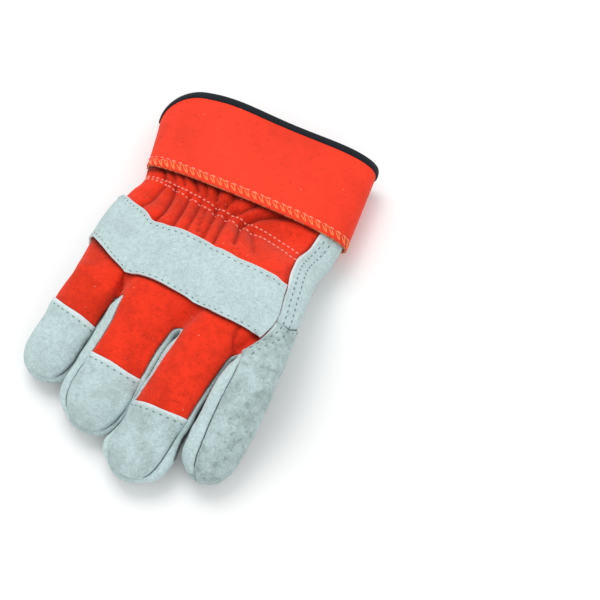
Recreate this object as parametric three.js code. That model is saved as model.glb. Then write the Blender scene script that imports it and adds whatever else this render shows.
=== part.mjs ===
// Heavy-duty work glove for the right hand: split leather palm, cloth back, knuckle strap, gathered wrist
// and a stiff bound cuff. It lies on its palm with the thumb folded under it, back up. Millimetres.
// +X points to the index finger's side, -Y to the fingertips, and +Z out of the back of the hand.
// The hand, fingers and thumb are one skin of quads, worked out ring by ring. Each sewn piece is a patch of
// that skin, given a wall along the skin's own normals, with a small gap to its neighbours at every seam.

import * as THREE from "three";

const { lerp, clamp, smoothstep, degToRad } = THREE.MathUtils;

// Driving sizes
const PALM_WIDTH = 135; // across the knuckles, from edge to edge
const PALM_LENGTH = 96; // from the cuff's lower edge to the forks of the fingers
const PALM_DEPTH = 31; // from the back of the hand to the palm
const FINGER_LENGTH = 77; // of the middle finger, from its root to its tip
const FINGER_WIDTH = 0.259 * PALM_WIDTH; // the fingers lie side by side across the palm
const FINGER_DEPTH = 24;
const FORK_WIDTH = 4; // the bottom of the fork between two fingers
const THUMB_LENGTH = 78;
const THUMB_WIDTH = 37;
const THUMB_DEPTH = 16;
const THUMB_LEAN = degToRad(12); // the folded thumb points this far towards the pinky side
const CUFF_LENGTH = 62;
const CUFF_WIDTH = 131;
const CUFF_DEPTH = 38;
const CUFF_CORNER = 19; // how far the rim sweeps back in its rounded corner at the pinky side
const CUFF_TUCK = 14; // how far the hand's skin runs up inside the cuff
const BINDING_WIDTH = 5;
const BINDING_WALL = 0.9;
const LEATHER_WALL = 1.3;
const SIDE_WALL = 1.2; // of the thinner leather between the fingers
const CLOTH_WALL = 1.2;
const CUFF_WALL = 1.4;
const SEAM_GAP = 0.35;
const GATHER_DEPTH = 1.6; // height of the folds that the wrist elastic makes
const FLOOR_PRESS = 1; // how far the soft underside is pressed flat where it rests

// How finely the skin is divided
const BACK_COLUMNS = 5; // over the back of one finger
const SIDE_COLUMNS = 4; // down one side
const WRIST_ROWS = 7;
const STRAP_ROWS = 5;
const KNUCKLE_ROWS = 5;
const FINGER_ROWS = 12;
const CAP_ROW = 5; // the row of a finger where its leather tip begins
const THUMB_ROWS = 10;
const CUFF_COLUMNS = 40;
const CUFF_ROWS = 5;

// Sections of the hand. along is a share of PALM_LENGTH from the cuff; left and right, the two edges, are
// shares of PALM_WIDTH; depth is a share of PALM_DEPTH; the lifts say how far each edge's underside is held
// off the floor by the thumb below, as shares of THUMB_DEPTH; seam is the leather's edge on the back, from
// -1 at the left to 1.
const HAND = [
  { along: -0.15, left: -0.43, right: 0.44, depth: 0.86, pinkyLift: 0.22, indexLift: 0.22, seam: 0.85 },
  { along: 0.06, left: -0.445, right: 0.463, depth: 0.8, pinkyLift: 0.2, indexLift: 0.25, seam: 0.84 },
  { along: 0.17, left: -0.474, right: 0.454, depth: 0.82, pinkyLift: 0.22, indexLift: 0.45, seam: 0.81 },
  { along: 0.3, left: -0.489, right: 0.458, depth: 0.93, pinkyLift: 0.25, indexLift: 0.9, seam: 0.8 },
  { along: 0.5, left: -0.496, right: 0.48, depth: 1, pinkyLift: 0.25, indexLift: 1.2, seam: 0.83 },
  { along: 0.8, left: -0.496, right: 0.507, depth: 1, pinkyLift: 0.25, indexLift: 1.35, seam: 0.84 },
  { along: 1, left: -0.496, right: 0.514, depth: 0.92, pinkyLift: 0.3, indexLift: 1.3, seam: 0.67 },
];

// The knuckle strap's two edges, along the hand as shares of PALM_LENGTH, at places across the cloth from
// 0 to 1. On the palm side, where there is no strap, the rows run straight across at PALM_EDGES.
const STRAP = [
  { across: 0, upper: 0.2, lower: 0.555 },
  { across: 0.18, upper: 0.31, lower: 0.72 },
  { across: 0.34, upper: 0.385, lower: 0.785 },
  { across: 0.47, upper: 0.39, lower: 0.785 },
  { across: 0.62, upper: 0.436, lower: 0.79 },
  { across: 0.84, upper: 0.46, lower: 0.83 },
  { across: 1, upper: 0.528, lower: 0.865 },
];
const PALM_EDGES = { upper: 0.38, lower: 0.76 };

// Where the fingers' roots begin and end: the hand's pinky edge, the three forks and the index edge, across
// the hand as shares of PALM_WIDTH and along it as shares of PALM_LENGTH.
const ROOTS = [
  { across: -0.496, along: 0.86 },
  { across: -0.241, along: 0.915 },
  { across: 0.068, along: 0.975 },
  { across: 0.328, along: 0.995 },
  { across: 0.514, along: 0.98 },
];

// The fingers, from the pinky. length, width and depth are shares of the finger sizes; cap is the share of
// the finger's length where its leather tip begins; lean, roll and slant, the slope of the tip's edge, are
// in degrees, and so are the seams, the angles above level where the back meets the left and right side
// walls; taper is the share of those angles that is left at the tip.
const FINGERS = [
  {
    name: "pinky", length: 0.75, width: 0.95, depth: 0.95, cap: 0.29,
    lean: 1, roll: -8, slant: 13, seamLeft: 38, seamRight: 35, taper: 0.6,
  },
  {
    name: "ring", length: 0.87, width: 1.11, depth: 1, cap: 0.46,
    lean: 3.5, roll: 4, slant: 9, seamLeft: 44, seamRight: 34, taper: 0.6,
  },
  {
    name: "middle", length: 1, width: 0.95, depth: 1, cap: 0.51,
    lean: 7, roll: 0, slant: -4, seamLeft: 34, seamRight: 40, taper: 0.6,
  },
  {
    name: "index", length: 0.78, width: 0.87, depth: 1, cap: 0.5,
    lean: 5, roll: 20, slant: 0, seamLeft: 44, seamRight: 38, taper: 1.45,
  },
];

// Sections of the cuff from its lower edge to its rim: shares of CUFF_LENGTH, CUFF_WIDTH and CUFF_DEPTH, and
// how far each is turned about the vertical and its top tilted towards the fingers, in degrees.
const CUFF = [
  { along: 0, left: -0.487, right: 0.502, depth: 1, turn: 0, tilt: 14 },
  { along: 0.5, left: -0.525, right: 0.48, depth: 1, turn: 1, tilt: 6 },
  { along: 1, left: -0.568, right: 0.456, depth: 0.97, turn: 2, tilt: 0 },
];

const CORNER_START = 0.68; // where the cuff's rounded corner begins, as a share of the half width
const HAND_ROUNDNESS = 2.5; // 2 is an ellipse, and more is boxier
const FINGER_ROUNDNESS = 2.15;
const EDGE = 0.94; // where the back turns into the side, as a share of the half width
const PALM_SEAM = degToRad(38); // how far below level a side wall meets the palm side
const ROOT_BLEND = 0.3; // share of a finger over which it takes its own section after the hand's
const ROOT_TURN = 0.35; // how much of its fall to the floor a finger's first section already follows
const ROUND_TIP = 0.52; // length of a finger's rounded end, as a share of its width
const TIP_CROWDING = 0.9; // how much closer the rows lie at a finger's end
const SEAM_TAPER = { from: 0.2, to: 0.95 }; // share of a finger where its seams draw together
const THUMB_BLEND = 0.4; // share of the thumb over which it takes its own section after its opening's
const THUMB_FALL = 0.35; // share of the thumb over which it comes down to the floor
const ROUND_THUMB = 0.5; // length of the thumb's rounded end, as a share of its width
const KNUCKLE_BLEND = 0.45; // share of the hand where it starts to take the shape of the finger roots
const GATHERED = { from: -0.05, full: 0.12, fade: 0.3, to: 0.5 }; // the wrist elastic's reach along the hand
const BINDING_ROUND = 0.3; // how far the binding's rim is drawn in, as a share of its wall
const SLEEVE = { from: -0.1, to: 0.06 }; // where along the hand its skin leaves the cuff that it is sewn to
const SHARPEST = 0.35; // limits how far a corner of a piece is drawn in at its seams

const gapHalf = SEAM_GAP / 2;
const topColumns = FINGERS.length * BACK_COLUMNS + FINGERS.length - 1;
const handColumns = 2 * topColumns + 2 * SIDE_COLUMNS;
const handRows = WRIST_ROWS + STRAP_ROWS + KNUCKLE_ROWS;
const fingerColumns = 2 * BACK_COLUMNS + 2 * SIDE_COLUMNS;
const halfSide = SIDE_COLUMNS / 2;
const rightSeam = halfSide + BACK_COLUMNS;
const underStart = rightSeam + SIDE_COLUMNS;
const seamColumn = halfSide + (FINGERS.length - 1) * (BACK_COLUMNS + 1);

// A table's column at a place between its rows, on a smooth curve through them.
function tableValue(table, place, column, at) {
  const last = table.length - 1;
  let i = 0;
  while (i < last - 1 && at > table[i + 1][place]) i++;
  const [a, b] = [table[i], table[i + 1]];
  const span = b[place] - a[place];
  const slope = (j) => {
    const [p, q] = [table[Math.max(j - 1, 0)], table[Math.min(j + 1, last)]];
    return (q[column] - p[column]) / (q[place] - p[place]);
  };
  const t = clamp((at - a[place]) / span, 0, 1);
  const rise = (b[column] - a[column]) * t * t * (3 - 2 * t);
  const tangents = slope(i) * t * (1 - t) * (1 - t) - slope(i + 1) * t * t * (1 - t);
  return a[column] + rise + tangents * span;
}

// The cosine or sine of an angle, raised so that a circle becomes a rounded box.
const boxed = (value, roundness) => Math.sign(value) * Math.abs(value) ** (2 / roundness);

// The cuff's surface

// A point at an angle round the cuff, a share of its length up from its lower edge, and a distance out of it
function cuffSurface(angle, along, out) {
  const value = (name) => tableValue(CUFF, "along", name, along);
  const half = ((value("right") - value("left")) * CUFF_WIDTH) / 2 + out;
  const depth = (value("depth") * CUFF_DEPTH) / 2 + out;
  const share = boxed(Math.cos(angle), HAND_ROUNDNESS);
  const across = share * half;
  const rise = boxed(Math.sin(angle), HAND_ROUNDNESS) * depth;
  const middle = (value("depth") * CUFF_DEPTH) / 2 - FLOOR_PRESS;
  const x = ((value("left") + value("right")) * CUFF_WIDTH) / 2 + across;
  const turned = Math.tan(degToRad(value("turn"))) * across;
  const tilted = Math.tan(degToRad(value("tilt"))) * ((value("depth") * CUFF_DEPTH) / 2 - rise);
  const intoCorner = clamp((-share - CORNER_START) / (1 - CORNER_START), 0, 1);
  const length = CUFF_LENGTH - CUFF_CORNER * (1 - Math.sqrt(1 - intoCorner * intoCorner));
  return new THREE.Vector3(x, along * length + turned + tilted, Math.max(middle + rise, -out));
}

// The point inside the cuff's wall, clear of it by the seam's gap, at an angle and a height
function insideCuff(angle, y) {
  const out = -BINDING_WALL - CUFF_WALL - SEAM_GAP;
  const share = (y - cuffSurface(angle, 0, out).y) / CUFF_LENGTH;
  return cuffSurface(angle, clamp(share, 0, 1), out).setY(y);
}

// The hand

const alongToY = (along) => -along * PALM_LENGTH;

function handSection(along) {
  const value = (column) => tableValue(HAND, "along", column, along);
  const depth = value("depth") * PALM_DEPTH;
  return {
    left: value("left") * PALM_WIDTH,
    right: value("right") * PALM_WIDTH,
    depth,
    pinkyMiddle: depth / 2 + value("pinkyLift") * THUMB_DEPTH,
    indexMiddle: depth / 2 + value("indexLift") * THUMB_DEPTH,
    seam: value("seam"),
  };
}

// A point of the hand's section at an angle round it: 0 at the index side, a quarter turn at the back.
function handSurface(along, angle) {
  const s = handSection(along);
  const across = boxed(Math.cos(angle), HAND_ROUNDNESS);
  const x = lerp(s.left, s.right, (across + 1) / 2);
  const middle = lerp(s.pinkyMiddle, s.indexMiddle, (across + 1) / 2);
  const z = middle + boxed(Math.sin(angle), HAND_ROUNDNESS) * (s.depth / 2);
  return new THREE.Vector3(x, alongToY(along), z);
}

// The angle at which the section is a given share across, from -1 to 1, on the back.
const angleAcross = (across) => Math.acos(Math.sign(across) * Math.abs(across) ** (HAND_ROUNDNESS / 2));

// Where a finger's root starts and ends, and where it points
function fingerShape(finger, i) {
  const s = handSection(1);
  const middleAt = (x) => lerp(s.pinkyMiddle, s.indexMiddle, (x - s.left) / (s.right - s.left));
  const [start, end] = [ROOTS[i], ROOTS[i + 1]];
  const from = start.across * PALM_WIDTH + (i === 0 ? 0 : FORK_WIDTH / 2);
  const to = end.across * PALM_WIDTH - (i === FINGERS.length - 1 ? 0 : FORK_WIDTH / 2);
  const x = (from + to) / 2;
  const lean = degToRad(finger.lean);
  const length = finger.length * FINGER_LENGTH;
  return {
    root: new THREE.Vector3(x, alongToY((start.along + end.along) / 2), middleAt(x)),
    rootSlope: (alongToY(end.along) - alongToY(start.along)) / 2,
    run: new THREE.Vector3(-Math.sin(lean) * length, -Math.cos(lean) * length, 0),
    length,
    rootWidth: to - from,
    width: finger.width * FINGER_WIDTH,
    rootDepth: s.depth,
    depth: finger.depth * FINGER_DEPTH,
    rootRoll: Math.atan2(s.indexMiddle - s.pinkyMiddle, s.right - s.left),
    roll: degToRad(finger.roll),
    taper: finger.taper,
    seamLeft: degToRad(finger.seamLeft),
    seamRight: degToRad(finger.seamRight),
    slant: (Math.tan(degToRad(finger.slant)) * finger.width * FINGER_WIDTH) / 2 / length,
  };
}

const shapes = FINGERS.map(fingerShape);

// The point of a finger's middle line at a share of its length, from its root down to the floor
function fingerMiddle(shape, t) {
  const rest = shape.depth / 2 - FLOOR_PRESS;
  const fall = (t + smoothstep(t, 0, 1)) / 2;
  return shape.root.clone().addScaledVector(shape.run, t).setZ(lerp(shape.root.z, rest, fall));
}

// The angle of a finger's column, counted from the middle of its left side over the back, with the seams'
// angles reduced by a factor
function ringAngle(column, shape, factor) {
  const left = Math.PI - shape.seamLeft * factor;
  const right = shape.seamRight * factor;
  const under = PALM_SEAM * factor;
  if (column <= halfSide) return lerp(Math.PI, left, column / halfSide);
  if (column <= rightSeam) return lerp(left, right, (column - halfSide) / BACK_COLUMNS);
  if (column <= underStart) return lerp(right, -under, (column - rightSeam) / SIDE_COLUMNS);
  const underEnd = underStart + BACK_COLUMNS;
  if (column <= underEnd) return lerp(-under, under - Math.PI, (column - underStart) / BACK_COLUMNS);
  return lerp(under - Math.PI, -Math.PI, (column - underEnd) / halfSide);
}

// How far a tube's end has closed at t, when the last part of it, as long as share, is round
const tipScale = (t, share) => {
  const into = clamp((t - (1 - share)) / share, 0, 1);
  return Math.sqrt(Math.max(0, 1 - into * into));
};

// A finger's rows: evenly spaced up to its leather tip, then crowding to the end, where it turns fastest
const fingerRowAt = (finger, row) => {
  if (row <= CAP_ROW) return (finger.cap * row) / CAP_ROW;
  const u = (row - CAP_ROW) / (FINGER_ROWS - CAP_ROW);
  return lerp(finger.cap, 1, u + TIP_CROWDING * u * (1 - u) * u);
};

function fingerPoint(index, column, row) {
  const shape = shapes[index];
  const seamRow = fingerRowAt(FINGERS[index], row);
  const drawn = smoothstep(seamRow, SEAM_TAPER.from, SEAM_TAPER.to);
  const angle = ringAngle(column, shape, lerp(1, shape.taper, drawn));
  const skew = Math.cos(angle) * shape.slant * 4 * seamRow * (1 - seamRow);
  const t = seamRow + skew;
  const closing = tipScale(t, (ROUND_TIP * shape.width) / shape.length);
  const free = smoothstep(t, 0, ROOT_BLEND);
  const width = lerp(shape.rootWidth, shape.width, free) * closing;
  const depth = lerp(shape.rootDepth, shape.depth, free) * closing;
  const roll = lerp(shape.rootRoll, shape.roll, free);
  const middle = fingerMiddle(shape, t);
  middle.y += Math.cos(angle) * shape.rootSlope * (1 - free);
  const ahead = fingerMiddle(shape, Math.min(t + 0.01, 1)).sub(fingerMiddle(shape, Math.max(t - 0.01, 0)));
  const straight = new THREE.Vector3(0, -1, 0);
  const forward = straight.lerp(ahead.normalize(), lerp(ROOT_TURN, 1, free)).normalize();
  const side = new THREE.Vector3(0, 0, 1).cross(forward).negate().normalize();
  const up = side.clone().cross(forward).negate().normalize();
  side.applyAxisAngle(forward, -roll);
  up.applyAxisAngle(forward, -roll);
  if (up.z < 0) up.negate();
  if (side.x < 0) side.negate();
  return middle
    .addScaledVector(side, (boxed(Math.cos(angle), FINGER_ROUNDNESS) * width) / 2)
    .addScaledVector(up, (boxed(Math.sin(angle), FINGER_ROUNDNESS) * depth) / 2);
}

// The hand's last ring: for each of its columns, the finger and the column of that finger that it meets
function rootColumns() {
  const topOf = (f) => Array.from({ length: BACK_COLUMNS + 1 }, (_, i) => [f, halfSide + i]);
  const underOf = (f) => Array.from({ length: BACK_COLUMNS + 1 }, (_, i) => [f, underStart + i]);
  const last = FINGERS.length - 1;
  const all = FINGERS.map((_, f) => f);
  return [
    ...Array.from({ length: halfSide }, (_, i) => [0, i]),
    ...all.flatMap(topOf),
    ...Array.from({ length: SIDE_COLUMNS - 1 }, (_, i) => [last, rightSeam + 1 + i]),
    ...all.toReversed().flatMap(underOf),
    ...Array.from({ length: halfSide - 1 }, (_, i) => [0, fingerColumns - halfSide + 1 + i]),
  ];
}

const roots = rootColumns().map(([finger, column]) => fingerPoint(finger, column, 0));

// Columns of the hand's ring where its back, index side, palm and pinky side begin
const backStart = halfSide;
const indexSideStart = backStart + topColumns;
const palmStart = indexSideStart + SIDE_COLUMNS;
const pinkySideStart = palmStart + topColumns;

const shareBetween = (value, from, to) => (value - from) / (to - from);

// The angle of a hand column at a place along the hand. The cloth's columns follow its seam as it moves.
function handAngle(column, along) {
  const seam = handSection(along).seam;
  const edge = angleAcross(EDGE);
  if (column < backStart) return lerp(Math.PI, Math.PI - edge, column / halfSide);
  if (column <= indexSideStart) {
    const x = roots[column].x;
    const seamX = roots[seamColumn].x;
    if (column <= seamColumn)
      return angleAcross(lerp(-EDGE, seam, shareBetween(x, roots[backStart].x, seamX)));
    return angleAcross(lerp(seam, EDGE, shareBetween(x, seamX, roots[indexSideStart].x)));
  }
  if (column < palmStart) return lerp(edge, -edge, (column - indexSideStart) / SIDE_COLUMNS);
  if (column <= pinkySideStart) {
    const share = shareBetween(roots[column].x, roots[palmStart].x, roots[pinkySideStart].x);
    return -angleAcross(lerp(EDGE, -EDGE, share));
  }
  return lerp(-Math.PI + edge, -Math.PI, (column - pinkySideStart) / halfSide);
}

// How far across the back a column lies, from 0 at the pinky side to 1 at the leather's edge and beyond
function acrossBack(column) {
  if (column <= indexSideStart) return clamp((column - backStart) / (seamColumn - backStart), 0, 1);
  return column < palmStart ? 1 : 0;
}

// A column's share of the strap's slant: all of it on the back, none of it on the palm
function slantShare(column) {
  if (column <= indexSideStart) return 1;
  if (column < palmStart) return 1 - (column - indexSideStart) / SIDE_COLUMNS;
  return column > pinkySideStart ? (column - pinkySideStart) / halfSide : 0;
}

// Where a row of the hand lies along it: rows follow the strap's two edges across the back.
function alongAt(column, row) {
  const across = acrossBack(column);
  const slant = slantShare(column);
  const upper = lerp(PALM_EDGES.upper, tableValue(STRAP, "across", "upper", across), slant);
  const lower = lerp(PALM_EDGES.lower, tableValue(STRAP, "across", "lower", across), slant);
  const start = -CUFF_TUCK / PALM_LENGTH;
  if (row <= WRIST_ROWS) return lerp(start, upper, row / WRIST_ROWS);
  if (row <= WRIST_ROWS + STRAP_ROWS) return lerp(upper, lower, (row - WRIST_ROWS) / STRAP_ROWS);
  return lerp(lower, 1, (row - WRIST_ROWS - STRAP_ROWS) / KNUCKLE_ROWS);
}

// The wrist elastic's folds, which fade out under the strap
function gather(column, along) {
  if (column <= backStart || column >= seamColumn) return 0;
  const rise = smoothstep(along, GATHERED.from, GATHERED.full);
  const strength = rise * (1 - smoothstep(along, GATHERED.fade, GATHERED.to));
  return (column % 2 ? 1 : -1) * strength * GATHER_DEPTH;
}

function handPoint(column, row) {
  const wrapped = column % handColumns;
  if (row === handRows) return roots[wrapped].clone();
  const along = alongAt(wrapped, row);
  const angle = handAngle(wrapped, along);
  const point = handSurface(along, angle);
  point.lerp(insideCuff(angle, point.y), 1 - smoothstep(along, SLEEVE.from, SLEEVE.to));
  const end = handSurface(1, handAngle(wrapped, 1));
  const pull = smoothstep(along, KNUCKLE_BLEND, 1);
  point.addScaledVector(roots[wrapped].clone().sub(end), pull);
  point.z += gather(wrapped, along);
  return point;
}

// The thumb

// The opening in the palm that the thumb is sewn into, in columns and rows of the hand
const THUMB_HOLE = {
  firstColumn: palmStart + 1,
  lastColumn: palmStart + 9,
  firstRow: 2,
  lastRow: WRIST_ROWS + 2,
};
const holeColumns = THUMB_HOLE.lastColumn - THUMB_HOLE.firstColumn;
const holeRows = THUMB_HOLE.lastRow - THUMB_HOLE.firstRow;
const thumbColumns = 2 * (holeColumns + holeRows);

// The opening's edge, from its pinky side at the front, across the front, back along the index side, and
// round
function holePoint(column) {
  const { firstColumn, lastColumn, firstRow, lastRow } = THUMB_HOLE;
  const c = column % thumbColumns;
  if (c <= holeColumns) return handPoint(lastColumn - c, lastRow);
  if (c <= holeColumns + holeRows) return handPoint(firstColumn, lastRow - (c - holeColumns));
  const alongBack = c - holeColumns - holeRows;
  if (alongBack <= holeColumns) return handPoint(firstColumn + alongBack, firstRow);
  return handPoint(lastColumn, firstRow + alongBack - holeColumns);
}

// The angle of a thumb's column round its section, whose corners are where the two thumb pieces' seams run
function thumbAngle(column) {
  const front = Math.PI - 2 * PALM_SEAM;
  const side = 2 * PALM_SEAM;
  const c = column % thumbColumns;
  const ends = [holeColumns, holeColumns + holeRows, 2 * holeColumns + holeRows];
  if (c <= ends[0]) return Math.PI - PALM_SEAM - (c / holeColumns) * front;
  if (c <= ends[1]) return PALM_SEAM - ((c - ends[0]) / holeRows) * side;
  if (c <= ends[2]) return -PALM_SEAM - ((c - ends[1]) / holeColumns) * front;
  return PALM_SEAM - Math.PI - ((c - ends[2]) / holeRows) * side;
}

function thumbPoint(column, row) {
  const edge = holePoint(column);
  const t = row / THUMB_ROWS;
  const start = holePoint(0).add(holePoint(holeColumns + holeRows)).multiplyScalar(0.5);
  const run = new THREE.Vector3(-Math.sin(THUMB_LEAN), -Math.cos(THUMB_LEAN), 0);
  const tube = start.clone().addScaledVector(run, THUMB_LENGTH * t);
  const closing = tipScale(t, (ROUND_THUMB * THUMB_WIDTH) / THUMB_LENGTH);
  const angle = thumbAngle(column);
  const rest = THUMB_DEPTH / 2 - FLOOR_PRESS;
  tube.x += (boxed(Math.cos(angle), FINGER_ROUNDNESS) * THUMB_WIDTH * closing) / 2;
  tube.z = lerp(start.z, rest, smoothstep(t, 0, THUMB_FALL));
  tube.z += (boxed(Math.sin(angle), FINGER_ROUNDNESS) * THUMB_DEPTH * closing) / 2;
  return edge.lerp(tube, smoothstep(t, 0, THUMB_BLEND));
}

// The skin: points that patches share, and for each piece the triangles that it is cut from

const skin = { points: [], triangles: new Map(), found: new Map() };

function skinPoint(point) {
  point.z = Math.max(point.z, 0);
  const key = point.toArray().map((v) => Math.round(v * 1e4)).join();
  if (!skin.found.has(key)) {
    skin.found.set(key, skin.points.length);
    skin.points.push(point);
  }
  return skin.found.get(key);
}

// Bends a plane of columns by rows into place, and gives each of its cells to the pieces that pieceAt names.
function patch(columns, rows, place, pieceAt) {
  const plane = new THREE.PlaneGeometry(1, 1, columns, rows);
  const ids = [];
  for (let row = 0; row <= rows; row++)
    for (let column = 0; column <= columns; column++) ids.push(skinPoint(place(column, row)));
  const corners = plane.index.array;
  for (let i = 0; i < corners.length; i += 3) {
    const triangle = [ids[corners[i]], ids[corners[i + 1]], ids[corners[i + 2]]];
    if (new Set(triangle).size < 3) continue;
    const cell = Math.floor(i / 6);
    for (const piece of pieceAt(cell % columns, Math.floor(cell / columns))) {
      if (!skin.triangles.has(piece)) skin.triangles.set(piece, []);
      skin.triangles.get(piece).push(triangle);
    }
  }
}

const strapFirst = WRIST_ROWS;
const strapLast = WRIST_ROWS + STRAP_ROWS;
const indexBackFirst = strapFirst + 3; // the row of the cross seam between the palm piece and the index back

function handPieces(column, row) {
  const inHole =
    column >= THUMB_HOLE.firstColumn &&
    column < THUMB_HOLE.lastColumn &&
    row >= THUMB_HOLE.firstRow &&
    row < THUMB_HOLE.lastRow;
  if (inHole) return [];
  if (column < seamColumn)
    return row >= strapFirst && row < strapLast ? ["back_cloth", "knuckle_strap"] : ["back_cloth"];
  if (column < palmStart) return row >= indexBackFirst ? ["index_back"] : ["palm_leather"];
  return ["palm_leather"];
}

const wallEnd = FINGER_ROWS - 1; // the row where the side walls end and cap and palm meet

function fingerPieces(index, column, row) {
  const finger = FINGERS[index];
  const clothBack = row < CAP_ROW ? "back_cloth" : finger.name + "_tip";
  const back = finger === FINGERS.at(-1) ? "index_back" : clothBack;
  const inTop = column >= halfSide && column < rightSeam;
  const inRight = column >= rightSeam && column < underStart;
  const inUnder = column >= underStart && column < fingerColumns - halfSide;
  if (inTop) return [back];
  if (inUnder) return ["palm_leather"];
  const upper = inRight ? column < rightSeam + halfSide : column < halfSide;
  const outer = inRight ? index === FINGERS.length - 1 : index === 0;
  if (!outer && row < wallEnd) return [wallName(inRight ? index : index - 1)];
  if (outer && inRight) return row < wallEnd || upper ? [back] : ["palm_leather"];
  return upper ? [back] : ["palm_leather"];
}

const wallName = (index) => "side_wall_" + FINGERS[index].name + "_" + FINGERS[index + 1].name;

patch(handColumns, handRows, handPoint, handPieces);
FINGERS.forEach((_, index) =>
  patch(
    fingerColumns,
    FINGER_ROWS,
    (column, row) => fingerPoint(index, column % fingerColumns, row),
    (column, row) => fingerPieces(index, column, row),
  ),
);
for (let fork = 0; fork < FINGERS.length - 1; fork++) {
  const right = (row) => fingerPoint(fork, rightSeam + row, 0);
  const left = (row) => fingerPoint(fork + 1, (fingerColumns + halfSide - row) % fingerColumns, 0);
  patch(1, SIDE_COLUMNS, (column, row) => (column ? left(row) : right(row)), () => [wallName(fork)]);
}
patch(thumbColumns, THUMB_ROWS, thumbPoint, (column) => {
  const upperLast = holeColumns + holeRows / 2;
  const upperFirst = thumbColumns - holeRows / 2;
  return [column < upperLast || column >= upperFirst ? "thumb_back" : "thumb_front"];
});

// The skin's normals, shared by every piece that meets at a point
function skinNormals() {
  const normals = skin.points.map(() => new THREE.Vector3());
  const side = new THREE.Vector3();
  for (const [piece, triangles] of skin.triangles) {
    if (piece === "knuckle_strap") continue;
    for (const [a, b, c] of triangles) {
      const [p, q, r] = [skin.points[a], skin.points[b], skin.points[c]];
      side.subVectors(q, p).cross(new THREE.Vector3().subVectors(r, p));
      for (const id of [a, b, c]) normals[id].add(side);
    }
  }
  return normals.map((n) => n.normalize());
}

const normals = skinNormals();

// Cuts a piece out of the skin: its edge is drawn in by half the seam's gap, and it fills the space between
// two distances above the skin. Negative distances lie below the skin. A rim's diagonals run the same way in
// both pieces that meet there, so that their walls don't cross.
function cutPiece(piece, outer, inner) {
  const triangles = skin.triangles.get(piece);
  const edges = new Map();
  for (const [a, b, c] of triangles)
    for (const [p, q] of [[a, b], [b, c], [c, a]])
      if (!edges.delete(q + " " + p)) edges.set(p + " " + q, [p, q]);
  const inward = new Map();
  for (const [p, q] of edges.values()) {
    const middle = normals[p].clone().add(normals[q]);
    const run = skin.points[q].clone().sub(skin.points[p]);
    const step = middle.cross(run).normalize();
    for (const id of [p, q]) {
      if (!inward.has(id)) inward.set(id, []);
      inward.get(id).push(step);
    }
  }
  const ids = [...new Set(triangles.flat())];
  const place = new Map(ids.map((id, i) => [id, i]));
  const layer = (height) =>
    ids.map((id) => {
      const point = skin.points[id].clone();
      const steps = inward.get(id) ?? [];
      if (steps.length) {
        const way = steps.reduce((sum, step) => sum.add(step), new THREE.Vector3()).normalize();
        point.addScaledVector(way, gapHalf / Math.max(way.dot(steps[0]), SHARPEST));
      }
      return point.addScaledVector(normals[id], height);
    });
  const points = [...layer(outer), ...layer(inner)];
  const under = ids.length;
  const index = [];
  for (const [a, b, c] of triangles.map((t) => t.map((id) => place.get(id)))) {
    index.push(a, b, c);
    index.push(under + a, under + c, under + b);
  }
  for (const [p, q] of edges.values()) {
    const [a, b] = [place.get(p), place.get(q)];
    if (p < q) index.push(a, under + a, under + b, a, under + b, b);
    else index.push(a, under + a, b, under + a, under + b, b);
  }
  return new THREE.BufferGeometry().setFromPoints(points).setIndex(index);
}

// The cuff's pieces

// A closed loop of the cuff's outline, at each of a profile's places: how far along the cuff, and how far
// out of it
function loopOfCuff(profile) {
  const count = profile.length;
  const points = [];
  for (let column = 0; column < CUFF_COLUMNS; column++) {
    const angle = Math.PI - (2 * Math.PI * column) / CUFF_COLUMNS;
    for (const { along, out } of profile) points.push(cuffSurface(angle, along, out));
  }
  const index = [];
  for (let column = 0; column < CUFF_COLUMNS; column++)
    for (let i = 0; i < count; i++) {
      const next = ((column + 1) % CUFF_COLUMNS) * count;
      const [a, b] = [column * count + i, column * count + ((i + 1) % count)];
      const [c, d] = [next + ((i + 1) % count), next + i];
      index.push(a, b, c, a, c, d);
    }
  return new THREE.BufferGeometry().setFromPoints(points).setIndex(index);
}

function cuffWall() {
  const rows = Array.from({ length: CUFF_ROWS + 1 }, (_, i) => i / CUFF_ROWS);
  const top = 1 - BINDING_WALL / CUFF_LENGTH;
  const outside = rows.map((along) => ({ along: along * top, out: -BINDING_WALL }));
  const inside = outside.toReversed().map(({ along, out }) => ({ along, out: out - CUFF_WALL }));
  return loopOfCuff([...outside.toReversed(), ...inside.toReversed()]);
}

function cuffBinding() {
  const start = 1 - BINDING_WIDTH / CUFF_LENGTH;
  const rim = 1 - (BINDING_WALL - SEAM_GAP) / CUFF_LENGTH;
  const deep = -2 * BINDING_WALL - CUFF_WALL;
  return loopOfCuff([
    { along: 1, out: -BINDING_WALL * BINDING_ROUND },
    { along: start, out: 0 },
    { along: start, out: -BINDING_WALL + SEAM_GAP },
    { along: rim, out: -BINDING_WALL + SEAM_GAP },
    { along: rim, out: deep + BINDING_WALL - SEAM_GAP },
    { along: start, out: deep + BINDING_WALL - SEAM_GAP },
    { along: start, out: deep },
    { along: 1, out: deep + BINDING_WALL * BINDING_ROUND },
  ]);
}

// Materials, by the finish that each piece has

const leather = { color: 0xb9cccd, roughness: 0.95, metalness: 0 };
const cloth = { color: 0xf03c22, roughness: 0.9, metalness: 0 };
const cuffCloth = { color: 0xf8462a, roughness: 0.7, metalness: 0 };
const binding = { color: 0x1b2229, roughness: 0.8, metalness: 0 };

const glove = new THREE.Group();

function add(name, geometry, finish) {
  geometry.computeVertexNormals();
  const mesh = new THREE.Mesh(geometry, new THREE.MeshStandardMaterial(finish));
  mesh.name = name;
  glove.add(mesh);
}

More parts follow.
